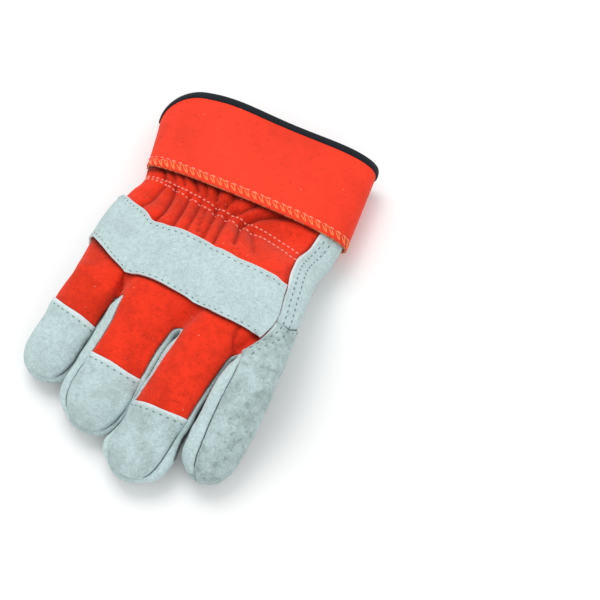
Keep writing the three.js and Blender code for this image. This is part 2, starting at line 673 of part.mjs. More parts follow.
add("back_cloth", cutPiece("back_cloth", 0, -CLOTH_WALL), cloth);
const notLeatherWall = ["back_cloth", "knuckle_strap"];
for (const piece of [...skin.triangles.keys()].filter((name) => !notLeatherWall.includes(name))) {
  const wall = piece.startsWith("side_wall") ? SIDE_WALL : LEATHER_WALL;
  add(piece, cutPiece(piece, 0, -wall), leather);
}
add("knuckle_strap", cutPiece("knuckle_strap", SEAM_GAP + LEATHER_WALL, SEAM_GAP), leather);
add("cuff", cuffWall(), cuffCloth);
add("cuff_binding", cuffBinding(), binding);

// The origin is the middle of the glove's footprint, on the floor.
const extent = new THREE.Box3().setFromObject(glove);
const footprint = extent.getCenter(new THREE.Vector3());
glove.position.set(-footprint.x, -footprint.y, -extent.min.z);

export default glove;
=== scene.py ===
"""The looks of a heavy-duty work glove: cloth, split leather, binding and stitches, on a pale floor."""

import math
from collections import namedtuple
from functools import cache

import bmesh
import bpy
import numpy as np
from bl_math import clamp, lerp, smoothstep
from mathutils import Matrix, Vector, kdtree
from mathutils.bvhtree import BVHTree


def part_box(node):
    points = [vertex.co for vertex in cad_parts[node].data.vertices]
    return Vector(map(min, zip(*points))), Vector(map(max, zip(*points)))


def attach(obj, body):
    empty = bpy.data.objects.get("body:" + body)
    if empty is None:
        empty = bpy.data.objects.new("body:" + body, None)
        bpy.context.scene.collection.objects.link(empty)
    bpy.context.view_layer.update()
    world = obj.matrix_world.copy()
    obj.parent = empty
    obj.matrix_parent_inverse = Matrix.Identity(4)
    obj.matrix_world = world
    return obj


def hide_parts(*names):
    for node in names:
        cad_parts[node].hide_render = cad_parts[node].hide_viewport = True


bl_info = {
    "name": "Work Glove",
    "version": (1, 0, 0),
    "blender": (4, 5, 0),
    "location": "3D View > Sidebar > Glove",
    "description": "Builds the finished pieces of a work glove around its frame",
    "category": "Add Mesh",
}

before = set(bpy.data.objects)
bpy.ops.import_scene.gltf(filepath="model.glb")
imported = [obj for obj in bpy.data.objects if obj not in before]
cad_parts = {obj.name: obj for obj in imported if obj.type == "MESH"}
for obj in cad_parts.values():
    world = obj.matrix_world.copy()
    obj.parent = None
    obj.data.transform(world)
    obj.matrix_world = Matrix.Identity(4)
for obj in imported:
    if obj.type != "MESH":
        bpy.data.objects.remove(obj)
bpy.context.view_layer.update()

MM = 0.001


# Sizes and colours that a user would change

def amount(name, description, default, unit="NONE"):
    return bpy.props.FloatProperty(
        name=name, description=description, default=default, unit=unit, precision=4
    )


def length(name, description, default):
    return amount(name, description, default, "LENGTH")


def colour(name, description, default):
    return bpy.props.FloatVectorProperty(
        name=name, description=description, default=default, subtype="COLOR", min=0, max=1
    )


class GloveSizes(bpy.types.PropertyGroup):
    """The glove's driving sizes, in step with the frame's"""

    palm_width: length("Palm width", "Across the knuckles", 0.135)
    palm_length: length("Palm length", "From the cuff to the forks of the fingers", 0.096)
    palm_depth: length("Palm depth", "From the back of the hand to the palm", 0.031)
    finger_length: length("Finger length", "Of the middle finger", 0.077)
    finger_width: length("Finger width", "Across a finger", 0.034965)
    finger_depth: length("Finger depth", "Through a finger", 0.024)
    fork_width: length("Fork width", "At the bottom of the fork between two fingers", 0.004)
    thumb_length: length("Thumb length", "Of the folded thumb", 0.078)
    thumb_width: length("Thumb width", "Across the thumb", 0.037)
    thumb_depth: length("Thumb depth", "Through the thumb", 0.016)
    cuff_length: length("Cuff length", "From the cuff's lower edge to its rim", 0.062)
    cuff_width: length("Cuff width", "Across the cuff", 0.131)
    cuff_depth: length("Cuff depth", "Through the open cuff", 0.038)
    cuff_corner: length("Cuff corner", "How far the rim sweeps back in its rounded corner", 0.019)
    cuff_tuck: length("Cuff tuck", "How far the wrist runs up inside the cuff", 0.014)
    binding_width: length("Binding width", "Of the tape round the rim", 0.005)
    binding_wall: length("Binding thickness", "Of the tape round the rim", 0.0009)
    leather_wall: length("Leather thickness", "Of the split leather", 0.0013)
    side_wall: length("Side wall thickness", "Of the thinner leather between the fingers", 0.0012)
    cloth_wall: length("Cloth thickness", "Of the cloth back", 0.0012)
    cuff_wall: length("Cuff thickness", "Of the stiffened cuff", 0.0014)
    seam_gap: length("Seam gap", "Between two pieces of the frame", 0.00035)
    floor_press: length("Floor press", "How far the underside is pressed flat", 0.001)
    lap: length("Lap", "How far the lapped leather stands above the cloth", 0.0008)
    stitch_pitch: length("Stitch pitch", "From one stitch to the next in the leather", 0.004)
    shirring_pitch: length("Elastic stitch pitch", "From one stitch to the next in the wrist's rows", 0.0032)


class GloveColours(bpy.types.PropertyGroup):
    """The glove's colours"""

    leather: colour("Leather", "Split leather", (0.49, 0.62, 0.625))
    leather_edge: colour("Leather edge", "Cut edges of the leather", (0.80, 0.86, 0.88))
    leather_thread: colour("Leather thread", "Stitches in the leather", (0.15, 0.24, 0.25))
    cloth: colour("Cloth", "Back of the glove", (0.85, 0.037, 0.011))
    cloth_thread: colour("Cloth thread", "Stitches in the cloth", (0.92, 0.29, 0.22))
    cuff: colour("Cuff", "Rubberised cuff", (0.86, 0.040, 0.012))
    overlock_thread: colour("Overlock thread", "Threads along the cuff's lower edge", (1.0, 0.27, 0.08))
    binding: colour("Binding", "Tape round the rim", (0.007, 0.012, 0.018))
    floor: colour("Floor", "Studio floor", (0.92, 0.92, 0.92))


# The skin's divisions: columns round the hand and the fingers, and rows along them

BACK_COLUMNS = 5
SIDE_COLUMNS = 4
WRIST_ROWS = 7
STRAP_ROWS = 5
KNUCKLE_ROWS = 5
FINGER_ROWS = 12
CAP_ROW = 5
THUMB_ROWS = 10
CUFF_COLUMNS = 40
FINENESS = 3

# The skin's tables, fitted a little closer to the real glove than the frame's. Lengths are shares of the
# sizes above, and angles are in degrees.

HandRow = namedtuple("HandRow", "along left right depth pinky_lift index_lift seam")
HAND = (
    HandRow(-0.15, -0.43, 0.44, 0.86, 0.22, 0.22, 0.85),
    HandRow(0.06, -0.445, 0.463, 0.8, 0.2, 0.25, 0.8),
    HandRow(0.17, -0.474, 0.454, 0.82, 0.22, 0.45, 0.79),
    HandRow(0.3, -0.489, 0.458, 0.93, 0.25, 0.9, 0.8),
    HandRow(0.5, -0.49, 0.48, 1, 0.25, 1.2, 0.83),
    HandRow(0.8, -0.473, 0.507, 1, 0.25, 1.35, 0.84),
    HandRow(1, -0.46, 0.514, 0.92, 0.3, 1.3, 0.67),
)

StrapRow = namedtuple("StrapRow", "across upper lower")
STRAP = (
    StrapRow(0, 0.2, 0.555),
    StrapRow(0.18, 0.31, 0.72),
    StrapRow(0.34, 0.385, 0.785),
    StrapRow(0.47, 0.39, 0.785),
    StrapRow(0.62, 0.436, 0.79),
    StrapRow(0.84, 0.46, 0.83),
    StrapRow(1, 0.528, 0.865),
)
PALM_UPPER, PALM_LOWER = 0.38, 0.76

RootRow = namedtuple("RootRow", "across along")
ROOTS = (
    RootRow(-0.46, 0.86),
    RootRow(-0.236, 0.88),
    RootRow(0.068, 0.94),
    RootRow(0.326, 0.965),
    RootRow(0.514, 0.98),
)

Finger = namedtuple("Finger", "name length width depth cap lean roll slant seam_left seam_right taper")
FINGERS = (
    Finger("pinky", 0.737, 0.96, 0.95, 0.325, 4, -8, 10, 38, 14, 0.8),
    Finger("ring", 0.905, 1.11, 1, 0.491, 3.5, 4, 2, 42, 38, 0.6),
    Finger("middle", 1.048, 0.95, 1, 0.537, 7, 0, -9, 12, 24, 0.8),
    Finger("index", 0.812, 0.87, 1, 0.505, 5, 20, 0, 44, 38, 1.45),
)

CuffRow = namedtuple("CuffRow", "along left right depth turn tilt")
CUFF = (
    CuffRow(0, -0.487, 0.502, 1, 0, 14),
    CuffRow(0.5, -0.525, 0.48, 1, 1, 6),
    CuffRow(1, -0.568, 0.456, 0.97, 2, 0),
)

THUMB_LEAN = math.radians(12)
CORNER_START = 0.68
HAND_ROUNDNESS = 2.5
FINGER_ROUNDNESS = 2.15
EDGE = 0.94
PALM_SEAM = math.radians(38)
ROOT_BLEND = 0.3
ROOT_TURN = 0.35
ROUND_TIP = 0.52
TIP_CROWDING = 0.9
SEAM_TAPER = (0.2, 0.95)
THUMB_BLEND = 0.4
THUMB_FALL = 0.35
ROUND_THUMB = 0.5
KNUCKLE_BLEND = 0.68
SLEEVE = (-0.06, 0.1)
ROOT_ROUNDNESS = 3.4
FORK_PINCH = 0.75
FORK_PINCH_END = 0.2
ROOT_ROUNDNESS_END = 0.22
BINDING_ROUNDNESS = 3
TIP_SEAM = (10, 11.4)
TIP_ROUNDNESS = 2.6

TOP_COLUMNS = len(FINGERS) * BACK_COLUMNS + len(FINGERS) - 1
HAND_COLUMNS = 2 * TOP_COLUMNS + 2 * SIDE_COLUMNS
HAND_ROWS = WRIST_ROWS + STRAP_ROWS + KNUCKLE_ROWS
FINGER_COLUMNS = 2 * BACK_COLUMNS + 2 * SIDE_COLUMNS
HALF_SIDE = SIDE_COLUMNS // 2
BACK_START = HALF_SIDE
INDEX_SIDE_START = BACK_START + TOP_COLUMNS
PALM_START = INDEX_SIDE_START + SIDE_COLUMNS
PINKY_SIDE_START = PALM_START + TOP_COLUMNS
SEAM_COLUMN = HALF_SIDE + (len(FINGERS) - 1) * (BACK_COLUMNS + 1)
RIGHT_SEAM = HALF_SIDE + BACK_COLUMNS
UNDER_START = RIGHT_SEAM + SIDE_COLUMNS
HOLE_COLUMNS = (PALM_START + 1, PALM_START + 9)
HOLE_ROWS = (2, WRIST_ROWS + 2)
HOLE_WIDE = HOLE_COLUMNS[1] - HOLE_COLUMNS[0]
HOLE_LONG = HOLE_ROWS[1] - HOLE_ROWS[0]
THUMB_COLUMNS = 2 * (HOLE_WIDE + HOLE_LONG)
STRAP_FIRST = WRIST_ROWS
STRAP_LAST = WRIST_ROWS + STRAP_ROWS
CROSS_SEAM = STRAP_FIRST + 3
WALL_END = FINGER_ROWS - 1


def sizes():
    return bpy.context.scene.glove_sizes


def table_value(table, place, column, at):
    """A table's column at a place between its rows, on a smooth curve through them"""
    rows = [(getattr(row, place), getattr(row, column)) for row in table]
    last = len(rows) - 1
    i = 0
    while i < last - 1 and at > rows[i + 1][0]:
        i += 1

    def slope(j):
        (p, u), (q, v) = rows[max(j - 1, 0)], rows[min(j + 1, last)]
        return (v - u) / (q - p)

    span = rows[i + 1][0] - rows[i][0]
    t = clamp((at - rows[i][0]) / span)
    rise = (rows[i + 1][1] - rows[i][1]) * t * t * (3 - 2 * t)
    tangents = slope(i) * t * (1 - t) * (1 - t) - slope(i + 1) * t * t * (1 - t)
    return rows[i][1] + rise + tangents * span


def boxed(value, roundness):
    """The cosine or sine of an angle, raised so that a circle becomes a rounded box"""
    return math.copysign(abs(value) ** (2 / roundness), value)


# The surfaces of the cuff, hand, fingers and thumb

def cuff_surface(angle, along, out):
    s = sizes()
    left, right, depth, turn, tilt = (
        table_value(CUFF, "along", name, along) for name in ("left", "right", "depth", "turn", "tilt")
    )
    half = (right - left) * s.cuff_width / 2 + out
    middle = depth * s.cuff_depth / 2
    share = boxed(math.cos(angle), HAND_ROUNDNESS)
    across = share * half
    rise = boxed(math.sin(angle), HAND_ROUNDNESS) * (middle + out)
    into_corner = clamp((-share - CORNER_START) / (1 - CORNER_START))
    reach = s.cuff_length - s.cuff_corner * (1 - math.sqrt(1 - into_corner**2))
    turned = math.tan(math.radians(turn)) * across
    tilted = math.tan(math.radians(tilt)) * (middle - rise)
    z = max(middle - s.floor_press + rise, -out)
    return Vector(((left + right) * s.cuff_width / 2 + across, along * reach + turned + tilted, z))


def inside_cuff(angle, y):
    s = sizes()
    out = -s.binding_wall - s.cuff_wall - s.seam_gap
    share = (y - cuff_surface(angle, 0, out).y) / s.cuff_length
    point = cuff_surface(angle, clamp(share), out)
    point.y = y
    return point


def along_to_y(along):
    return -along * sizes().palm_length


@cache
def hand_section(along):
    s = sizes()
    row = HandRow(along, *(table_value(HAND, "along", name, along) for name in HandRow._fields[1:]))
    depth = row.depth * s.palm_depth
    return row._replace(
        left=row.left * s.palm_width,
        right=row.right * s.palm_width,
        depth=depth,
        pinky_lift=depth / 2 + row.pinky_lift * s.thumb_depth,
        index_lift=depth / 2 + row.index_lift * s.thumb_depth,
    )


def hand_surface(along, angle):
    s = hand_section(along)
    across = (boxed(math.cos(angle), HAND_ROUNDNESS) + 1) / 2
    z = lerp(s.pinky_lift, s.index_lift, across) + boxed(math.sin(angle), HAND_ROUNDNESS) * s.depth / 2
    return Vector((lerp(s.left, s.right, across), along_to_y(along), z))


def angle_across(across):
    return math.acos(math.copysign(abs(across) ** (HAND_ROUNDNESS / 2), across))


Shape = namedtuple(
    "Shape", "root root_slope run length root_width width root_depth depth root_roll roll finger slant"
)


@cache
def finger_shape(i):
    s, end, finger = sizes(), hand_section(1), FINGERS[i]
    a, b = ROOTS[i], ROOTS[i + 1]
    start = a.across * s.palm_width + (s.fork_width / 2 if i else 0)
    stop = b.across * s.palm_width - (s.fork_width / 2 if i < len(FINGERS) - 1 else 0)
    x = (start + stop) / 2
    z = lerp(end.pinky_lift, end.index_lift, (x - end.left) / (end.right - end.left))
    lean = math.radians(finger.lean)
    long = finger.length * s.finger_length
    width = finger.width * s.finger_width
    return Shape(
        root=Vector((x, along_to_y((a.along + b.along) / 2), z)),
        root_slope=(along_to_y(b.along) - along_to_y(a.along)) / 2,
        run=Vector((-math.sin(lean), -math.cos(lean), 0)) * long,
        length=long,
        root_width=stop - start,
        width=width,
        root_depth=end.depth,
        depth=finger.depth * s.finger_depth,
        root_roll=math.atan2(end.index_lift - end.pinky_lift, end.right - end.left),
        roll=math.radians(finger.roll),
        finger=finger,
        slant=math.tan(math.radians(finger.slant)) * width / 2 / long,
    )


def finger_middle(shape, t):
    fall = (t + smoothstep(0, 1, t)) / 2
    point = shape.root + shape.run * t
    point.z = lerp(shape.root.z, shape.depth / 2 - sizes().floor_press, fall)
    return point


def ring_angle(column, finger, factor, drawn=(1, 1)):
    left = math.pi - math.radians(finger.seam_left) * factor * drawn[0]
    right = math.radians(finger.seam_right) * factor * drawn[1]
    under = PALM_SEAM * factor
    stops = (
        (0, math.pi), (HALF_SIDE, left), (RIGHT_SEAM, right), (UNDER_START, -under),
        (UNDER_START + BACK_COLUMNS, under - math.pi), (FINGER_COLUMNS, -math.pi),
    )
    for (a, start), (b, end) in zip(stops, stops[1:]):
        if column <= b:
            return lerp(start, end, (column - a) / (b - a))


def tip_scale(t, share):
    into = clamp((t - (1 - share)) / share)
    return math.sqrt(max(0, 1 - into * into))


def finger_row_at(finger, row):
    if row <= CAP_ROW:
        return finger.cap * row / CAP_ROW
    u = (row - CAP_ROW) / (FINGER_ROWS - CAP_ROW)
    return lerp(finger.cap, 1, u + TIP_CROWDING * u * (1 - u) * u)


def finger_point(i, column, row):
    shape = finger_shape(i)
    seam_row = finger_row_at(shape.finger, row)
    drawn = smoothstep(*SEAM_TAPER, seam_row)
    pinched = lerp(FORK_PINCH, 1, smoothstep(0, FORK_PINCH_END, seam_row))
    at_forks = (pinched if i else 1, pinched if i < len(FINGERS) - 1 else 1)
    angle = ring_angle(column, shape.finger, lerp(1, shape.finger.taper, drawn), at_forks)
    t = seam_row + math.cos(angle) * shape.slant * 4 * seam_row * (1 - seam_row)
    closing = tip_scale(t, ROUND_TIP * shape.width / shape.length)
    free = smoothstep(0, ROOT_BLEND, t)
    width = lerp(shape.root_width, shape.width, free) * closing
    depth = lerp(shape.root_depth, shape.depth, free) * closing
    roll = lerp(shape.root_roll, shape.roll, free)
    middle = finger_middle(shape, t)
    middle.y += math.cos(angle) * shape.root_slope * (1 - free)
    step = 0.01
    ahead = finger_middle(shape, min(t + step, 1)) - finger_middle(shape, max(t - step, 0))
    forward = Vector((0, -1, 0)).lerp(ahead.normalized(), lerp(ROOT_TURN, 1, free)).normalized()
    side = forward.cross(Vector((0, 0, 1))).normalized()
    up = forward.cross(side).normalized()
    turn = Matrix.Rotation(-roll, 3, forward)
    side, up = turn @ side, turn @ up
    side *= -1 if side.x < 0 else 1
    up *= -1 if up.z < 0 else 1
    roundness = lerp(ROOT_ROUNDNESS, FINGER_ROUNDNESS, smoothstep(0, ROOT_ROUNDNESS_END, t))
    middle += side * boxed(math.cos(angle), roundness) * width / 2
    middle += up * boxed(math.sin(angle), roundness) * depth / 2
    return middle


@cache
def root_points():
    """The hand's last ring, each of its points a point of a finger's first ring"""
    last = len(FINGERS) - 1
    columns = [(0, i) for i in range(HALF_SIDE)]
    columns += [(f, HALF_SIDE + i) for f in range(len(FINGERS)) for i in range(BACK_COLUMNS + 1)]
    columns += [(last, RIGHT_SEAM + 1 + i) for i in range(SIDE_COLUMNS - 1)]
    columns += [(f, UNDER_START + i) for f in reversed(range(len(FINGERS))) for i in range(BACK_COLUMNS + 1)]
    columns += [(0, FINGER_COLUMNS - HALF_SIDE + 1 + i) for i in range(HALF_SIDE - 1)]
    return [finger_point(f, column, 0) for f, column in columns]


def hand_angle(column, along):
    roots = root_points()
    seam = hand_section(along).seam
    edge = angle_across(EDGE)

    def share(first, last):
        return (roots[column].x - roots[first].x) / (roots[last].x - roots[first].x)

    if column < BACK_START:
        return lerp(math.pi, math.pi - edge, column / HALF_SIDE)
    if column <= SEAM_COLUMN:
        return angle_across(lerp(-EDGE, seam, share(BACK_START, SEAM_COLUMN)))
    if column <= INDEX_SIDE_START:
        return angle_across(lerp(seam, EDGE, share(SEAM_COLUMN, INDEX_SIDE_START)))
    if column < PALM_START:
        return lerp(edge, -edge, (column - INDEX_SIDE_START) / SIDE_COLUMNS)
    if column <= PINKY_SIDE_START:
        return -angle_across(lerp(EDGE, -EDGE, share(PALM_START, PINKY_SIDE_START)))
    return lerp(edge - math.pi, -math.pi, (column - PINKY_SIDE_START) / HALF_SIDE)


def along_at(column, row):
    """Where a row of the hand lies along it: rows follow the strap's two edges across the back"""
    across = slant = 0
    if column <= INDEX_SIDE_START:
        across = clamp((column - BACK_START) / (SEAM_COLUMN - BACK_START))
        slant = 1
    elif column < PALM_START:
        across = 1
        slant = 1 - (column - INDEX_SIDE_START) / SIDE_COLUMNS
    elif column > PINKY_SIDE_START:
        slant = (column - PINKY_SIDE_START) / HALF_SIDE
    upper = lerp(PALM_UPPER, table_value(STRAP, "across", "upper", across), slant)
    lower = lerp(PALM_LOWER, table_value(STRAP, "across", "lower", across), slant)
    start = -sizes().cuff_tuck / sizes().palm_length
    if row <= WRIST_ROWS:
        return lerp(start, upper, row / WRIST_ROWS)
    if row <= STRAP_LAST:
        return lerp(upper, lower, (row - WRIST_ROWS) / STRAP_ROWS)
    return lerp(lower, 1, (row - STRAP_LAST) / KNUCKLE_ROWS)


@cache
def hand_point_at(column, row):
    roots = root_points()
    if row == HAND_ROWS:
        return roots[column]
    along = along_at(column, row)
    angle = hand_angle(column, along)
    point = hand_surface(along, angle)
    point = point.lerp(inside_cuff(angle, point.y), 1 - smoothstep(*SLEEVE, along))
    end = hand_surface(1, hand_angle(column, 1))
    return point + (roots[column] - end) * smoothstep(KNUCKLE_BLEND, 1, along)


def hand_point(column, row):
    return hand_point_at(column % HAND_COLUMNS, row).copy()


def hole_point(column):
    c = column % THUMB_COLUMNS
    if c <= HOLE_WIDE:
        return hand_point(HOLE_COLUMNS[1] - c, HOLE_ROWS[1])
    c -= HOLE_WIDE
    if c <= HOLE_LONG:
        return hand_point(HOLE_COLUMNS[0], HOLE_ROWS[1] - c)
    c -= HOLE_LONG
    if c <= HOLE_WIDE:
        return hand_point(HOLE_COLUMNS[0] + c, HOLE_ROWS[0])
    return hand_point(HOLE_COLUMNS[1], HOLE_ROWS[0] + c - HOLE_WIDE)


def thumb_point(column, row):
    s = sizes()
    front, side = math.pi - 2 * PALM_SEAM, 2 * PALM_SEAM
    runs = ((HOLE_WIDE, front), (HOLE_LONG, side), (HOLE_WIDE, front), (HOLE_LONG, side))
    angle, left = math.pi - PALM_SEAM, column % THUMB_COLUMNS
    for count, arc in runs:
        angle -= arc * min(left, count) / count
        left = max(left - count, 0)
    t = row / THUMB_ROWS
    start = (hole_point(0) + hole_point(HOLE_WIDE + HOLE_LONG)) / 2
    tube = start + Vector((-math.sin(THUMB_LEAN), -math.cos(THUMB_LEAN), 0)) * s.thumb_length * t
    closing = tip_scale(t, ROUND_THUMB * s.thumb_width / s.thumb_length)
    tube.x += boxed(math.cos(angle), FINGER_ROUNDNESS) * s.thumb_width * closing / 2
    tube.z = lerp(start.z, s.thumb_depth / 2 - s.floor_press, smoothstep(0, THUMB_FALL, t))
    tube.z += boxed(math.sin(angle), FINGER_ROUNDNESS) * s.thumb_depth * closing / 2
    return hole_point(column).lerp(tube, smoothstep(0, THUMB_BLEND, t))


@cache
def origin():
    """How far the frame's origin lies from these surfaces' own, read off the binding's lowest corner"""
    s = sizes()
    start = 1 - s.binding_width / s.cuff_length
    profile = ((1, -s.binding_wall * 0.3), (start, 0))
    angles = [math.pi - 2 * math.pi * i / CUFF_COLUMNS for i in range(CUFF_COLUMNS)]
    loops = [cuff_surface(angle, *place) for angle in angles for place in profile]
    low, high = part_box("cuff_binding")
    return Vector((low.x - min(p.x for p in loops), high.y - max(p.y for p in loops), 0))


# The skin

PIECES = [
    "none", "back_cloth", "palm_leather", "index_back", "side_wall_pinky_ring", "side_wall_ring_middle",
    "side_wall_middle_index", "pinky_tip", "ring_tip", "middle_tip", "thumb_back", "thumb_front",
]
PATCHES = ["hand", *(finger.name for finger in FINGERS), "forks", "thumb"]


def wall_name(i):
    return f"side_wall_{FINGERS[i].name}_{FINGERS[i + 1].name}"


def hand_piece(column, row):
    if HOLE_COLUMNS[0] <= column < HOLE_COLUMNS[1] and HOLE_ROWS[0] <= row < HOLE_ROWS[1]:
        return "none"
    if column < SEAM_COLUMN:
        return "back_cloth"
    return "index_back" if column < PALM_START and row >= CROSS_SEAM else "palm_leather"


def finger_piece(i, column, row):
    name = FINGERS[i].name
    cloth_back = "back_cloth" if row < CAP_ROW else name + "_tip"
    back = "index_back" if name == "index" else cloth_back
    right = RIGHT_SEAM <= column < UNDER_START
    if HALF_SIDE <= column < RIGHT_SEAM:
        return back
    if UNDER_START <= column < FINGER_COLUMNS - HALF_SIDE:
        return "palm_leather"
    upper = column < SIDE_COLUMNS + BACK_COLUMNS if right else column < HALF_SIDE
    outer = i == len(FINGERS) - 1 if right else i == 0
    if not outer and row < WALL_END:
        return wall_name(i if right else i - 1)
    if outer and right and row < WALL_END:
        return back
    return back if upper else "palm_leather"


def thumb_piece(column, row):
    upper = column < HOLE_WIDE + HOLE_LONG / 2 or column >= THUMB_COLUMNS - HOLE_LONG / 2
    return "thumb_back" if upper else "thumb_front"


def flat_grid(bm, columns, rows):
    """Adds a grid, and gives each of its vertices with its column and row and its share across and down"""
    made = bmesh.ops.create_grid(bm, x_segments=columns, y_segments=rows, size=1)["verts"]
    shares = [(v, (v.co.x + 1) / 2, (1 - v.co.y) / 2) for v in made]
    return [(v, round(across * columns), round(down * rows), across, down) for v, across, down in shares]


def bend_grid(bm, columns, rows, place, piece_at, patch):
    """Adds a grid of columns by rows, bends it into place and marks each face with its piece"""
    where = bm.loops.layers.uv["place"]
    piece, patch_of = bm.faces.layers.int["piece"], bm.faces.layers.int["patch"]
    cells = {v: (column, row) for v, column, row, _, _ in flat_grid(bm, columns, rows)}
    for face in {f for v in cells for f in v.link_faces}:
        corners = [cells[loop.vert] for loop in face.loops]
        name = piece_at(min(c for c, _ in corners), min(r for _, r in corners))
        face[piece], face[patch_of] = PIECES.index(name), PATCHES.index(patch)
        for loop, corner in zip(face.loops, corners):
            loop[where].uv = corner
    for v, (column, row) in cells.items():
        v.co = place(column, row)
        v.co.z = max(v.co.z, 0)


def skin_cage():
    """The glove's skin as a coarse cage of quads"""
    bm = bmesh.new()
    bm.loops.layers.uv.new("place")
    bm.faces.layers.int.new("piece")
    bm.faces.layers.int.new("patch")
    bend_grid(bm, HAND_COLUMNS, HAND_ROWS, hand_point, hand_piece, "hand")
    for i, finger in enumerate(FINGERS):
        bend_grid(
            bm, FINGER_COLUMNS, FINGER_ROWS,
            lambda column, row: finger_point(i, column % FINGER_COLUMNS, row),
            lambda column, row: finger_piece(i, column, row), finger.name,
        )
    for i in range(len(FINGERS) - 1):
        bend_grid(
            bm, 1, SIDE_COLUMNS,
            lambda column, row: (
                finger_point(i + 1, (FINGER_COLUMNS + HALF_SIDE - row) % FINGER_COLUMNS, 0)
                if column else finger_point(i, RIGHT_SEAM + row, 0)
            ),
            lambda column, row: wall_name(i), "forks",
        )
    bend_grid(bm, THUMB_COLUMNS, THUMB_ROWS, thumb_point, thumb_piece, "thumb")
    piece = bm.faces.layers.int["piece"]
    bmesh.ops.delete(bm, geom=[f for f in bm.faces if not f[piece]], context="FACES")
    bmesh.ops.remove_doubles(bm, verts=bm.verts, dist=0.001 * MM)
    bmesh.ops.translate(bm, verts=bm.verts, vec=origin())
    return bm


def mesh_of(name, bm):
    mesh = bpy.data.meshes.new(name)
    bm.to_mesh(mesh)
    bm.free()
    return mesh


def subdivided(bm):
    """The smooth fine mesh of a coarse cage"""
    mesh = mesh_of("draft", bm)
    draft = bpy.data.objects.new("draft", mesh)
    bpy.context.collection.objects.link(draft)
    modifier = draft.modifiers.new("Subsurf", "SUBSURF")
    modifier.levels = modifier.render_levels = FINENESS
    modifier.uv_smooth = "NONE"
    graph = bpy.context.evaluated_depsgraph_get()
    made = bpy.data.meshes.new_from_object(draft.evaluated_get(graph))
    bpy.data.objects.remove(draft)
    bpy.data.meshes.remove(mesh)
    return made


def array_of(collection, name, width, kind=np.float32):
    values = np.empty(len(collection) * width, kind)
    collection.foreach_get(name, values)
    return values.reshape(-1, width) if width > 1 else values


def ease(low, high, values):
    t = np.clip((values - low) / (high - low), 0, 1)
    return t * t * (3 - 2 * t)


def bump(values, width):
    return np.exp(-((values / width) ** 2))


def ripple(points, scale, seed):
    """A smooth random field from -1 to 1 over points, with humps about as wide as scale"""
    count = 9
    rng = np.random.default_rng(seed)
    ways = rng.normal(size=(count, 3))
    ways /= np.linalg.norm(ways, axis=1)[:, None]
    pitch = math.pi / scale * rng.uniform(0.6, 1.3, count)
    shifts = rng.uniform(0, 2 * math.pi, count)
    return np.sin((points @ ways.T) * pitch + shifts).sum(1) / math.sqrt(count * 2)


def waves(point, *terms):
    """Sine waves over a point, each given by its turns along x and y, its start and its height"""
    return sum(math.sin(point.x * x + point.y * y + start) * height for x, y, start, height in terms)


# Folds in the cloth: each a line of places on the hand, across it in shares of the palm's width from the
# middle and along it in shares of its length from the cuff. Width and depth are in millimetres.
Fold = namedtuple("Fold", "width depth line")
GATHERS = (
    Fold(3.0, 1.5, ((-0.342, 0.071), (-0.345, 0.181), (-0.37, 0.29))),
    Fold(2.8, 2.0, ((-0.293, 0.061), (-0.268, 0.166), (-0.259, 0.271), (-0.273, 0.36))),
    Fold(2.6, 2.2, ((-0.214, 0.085), (-0.197, 0.194), (-0.182, 0.4))),
    Fold(2.4, 1.9, ((-0.156, 0.1), (-0.138, 0.194), (-0.122, 0.38))),
    Fold(2.2, 1.3, ((-0.118, 0.117), (-0.097, 0.211), (-0.076, 0.33))),
    Fold(2.6, 2.5, ((-0.082, 0.09), (-0.065, 0.168), (-0.044, 0.347), (-0.046, 0.4))),
    Fold(2.4, 2.0, ((-0.021, 0.115), (-0.009, 0.204), (0.012, 0.37))),
    Fold(2.6, 1.8, ((0.045, 0.124), (0.071, 0.225), (0.087, 0.31))),
    Fold(4.0, 1.0, ((0.11, 0.155), (0.147, 0.243), (0.179, 0.324))),
    Fold(2.6, 1.0, ((0.345, 0.33), (0.352, 0.39), (0.365, 0.45))),
    Fold(2.4, 1.6, ((-0.404, -0.058), (-0.364, -0.011), (-0.355, 0.022))),
    Fold(2.4, 1.2, ((-0.35, -0.06), (-0.303, 0.019))),
    Fold(2.4, 1.2, ((-0.3, -0.06), (-0.254, 0.029))),
    Fold(2.4, 1.7, ((-0.25, -0.06), (-0.223, -0.018), (-0.188, 0.036))),
    Fold(2.4, 1.0, ((-0.18, -0.05), (-0.141, 0.045))),
    Fold(2.2, 1.9, ((-0.115, -0.05), (-0.107, 0), (-0.097, 0.047))),
    Fold(2.4, 1.7, ((-0.03, -0.04), (-0.033, 0.021), (-0.044, 0.065))),
    Fold(2.6, 1.5, ((0.08, -0.03), (0.029, 0.058), (-0.004, 0.084))),
    Fold(2.6, 2.2, (
        (0.19, -0.01), (0.154, 0.009), (0.108, 0.051), (0.075, 0.09), (0.056, 0.113), (0.056, 0.158),
    )),
)
PINCHES = (
    Fold(1.7, 1.3, ((-0.25, 0.72), (-0.247, 0.776), (-0.239, 0.833), (-0.236, 0.9))),
    Fold(1.7, 1.2, ((0.297, 0.822), (0.295, 0.864), (0.301, 0.926), (0.322, 0.97))),
)
# Where the wrist's two elastic rows run, along the hand, at places across it
ShirRow = namedtuple("ShirRow", "across upper lower")
SHIRRING = (
    ShirRow(-0.43, 0.028, 0.04), ShirRow(-0.36, 0.032, 0.049), ShirRow(-0.275, 0.046, 0.072),
    ShirRow(-0.17, 0.065, 0.097), ShirRow(-0.06, 0.088, 0.124), ShirRow(0.05, 0.097, 0.143),
    ShirRow(0.14, 0.115, 0.167), ShirRow(0.23, 0.142, 0.197), ShirRow(0.33, 0.177, 0.24),
)


def shirring_at(across, row):
    return np.interp(across, [at.across for at in SHIRRING], [at[1 + row] for at in SHIRRING])


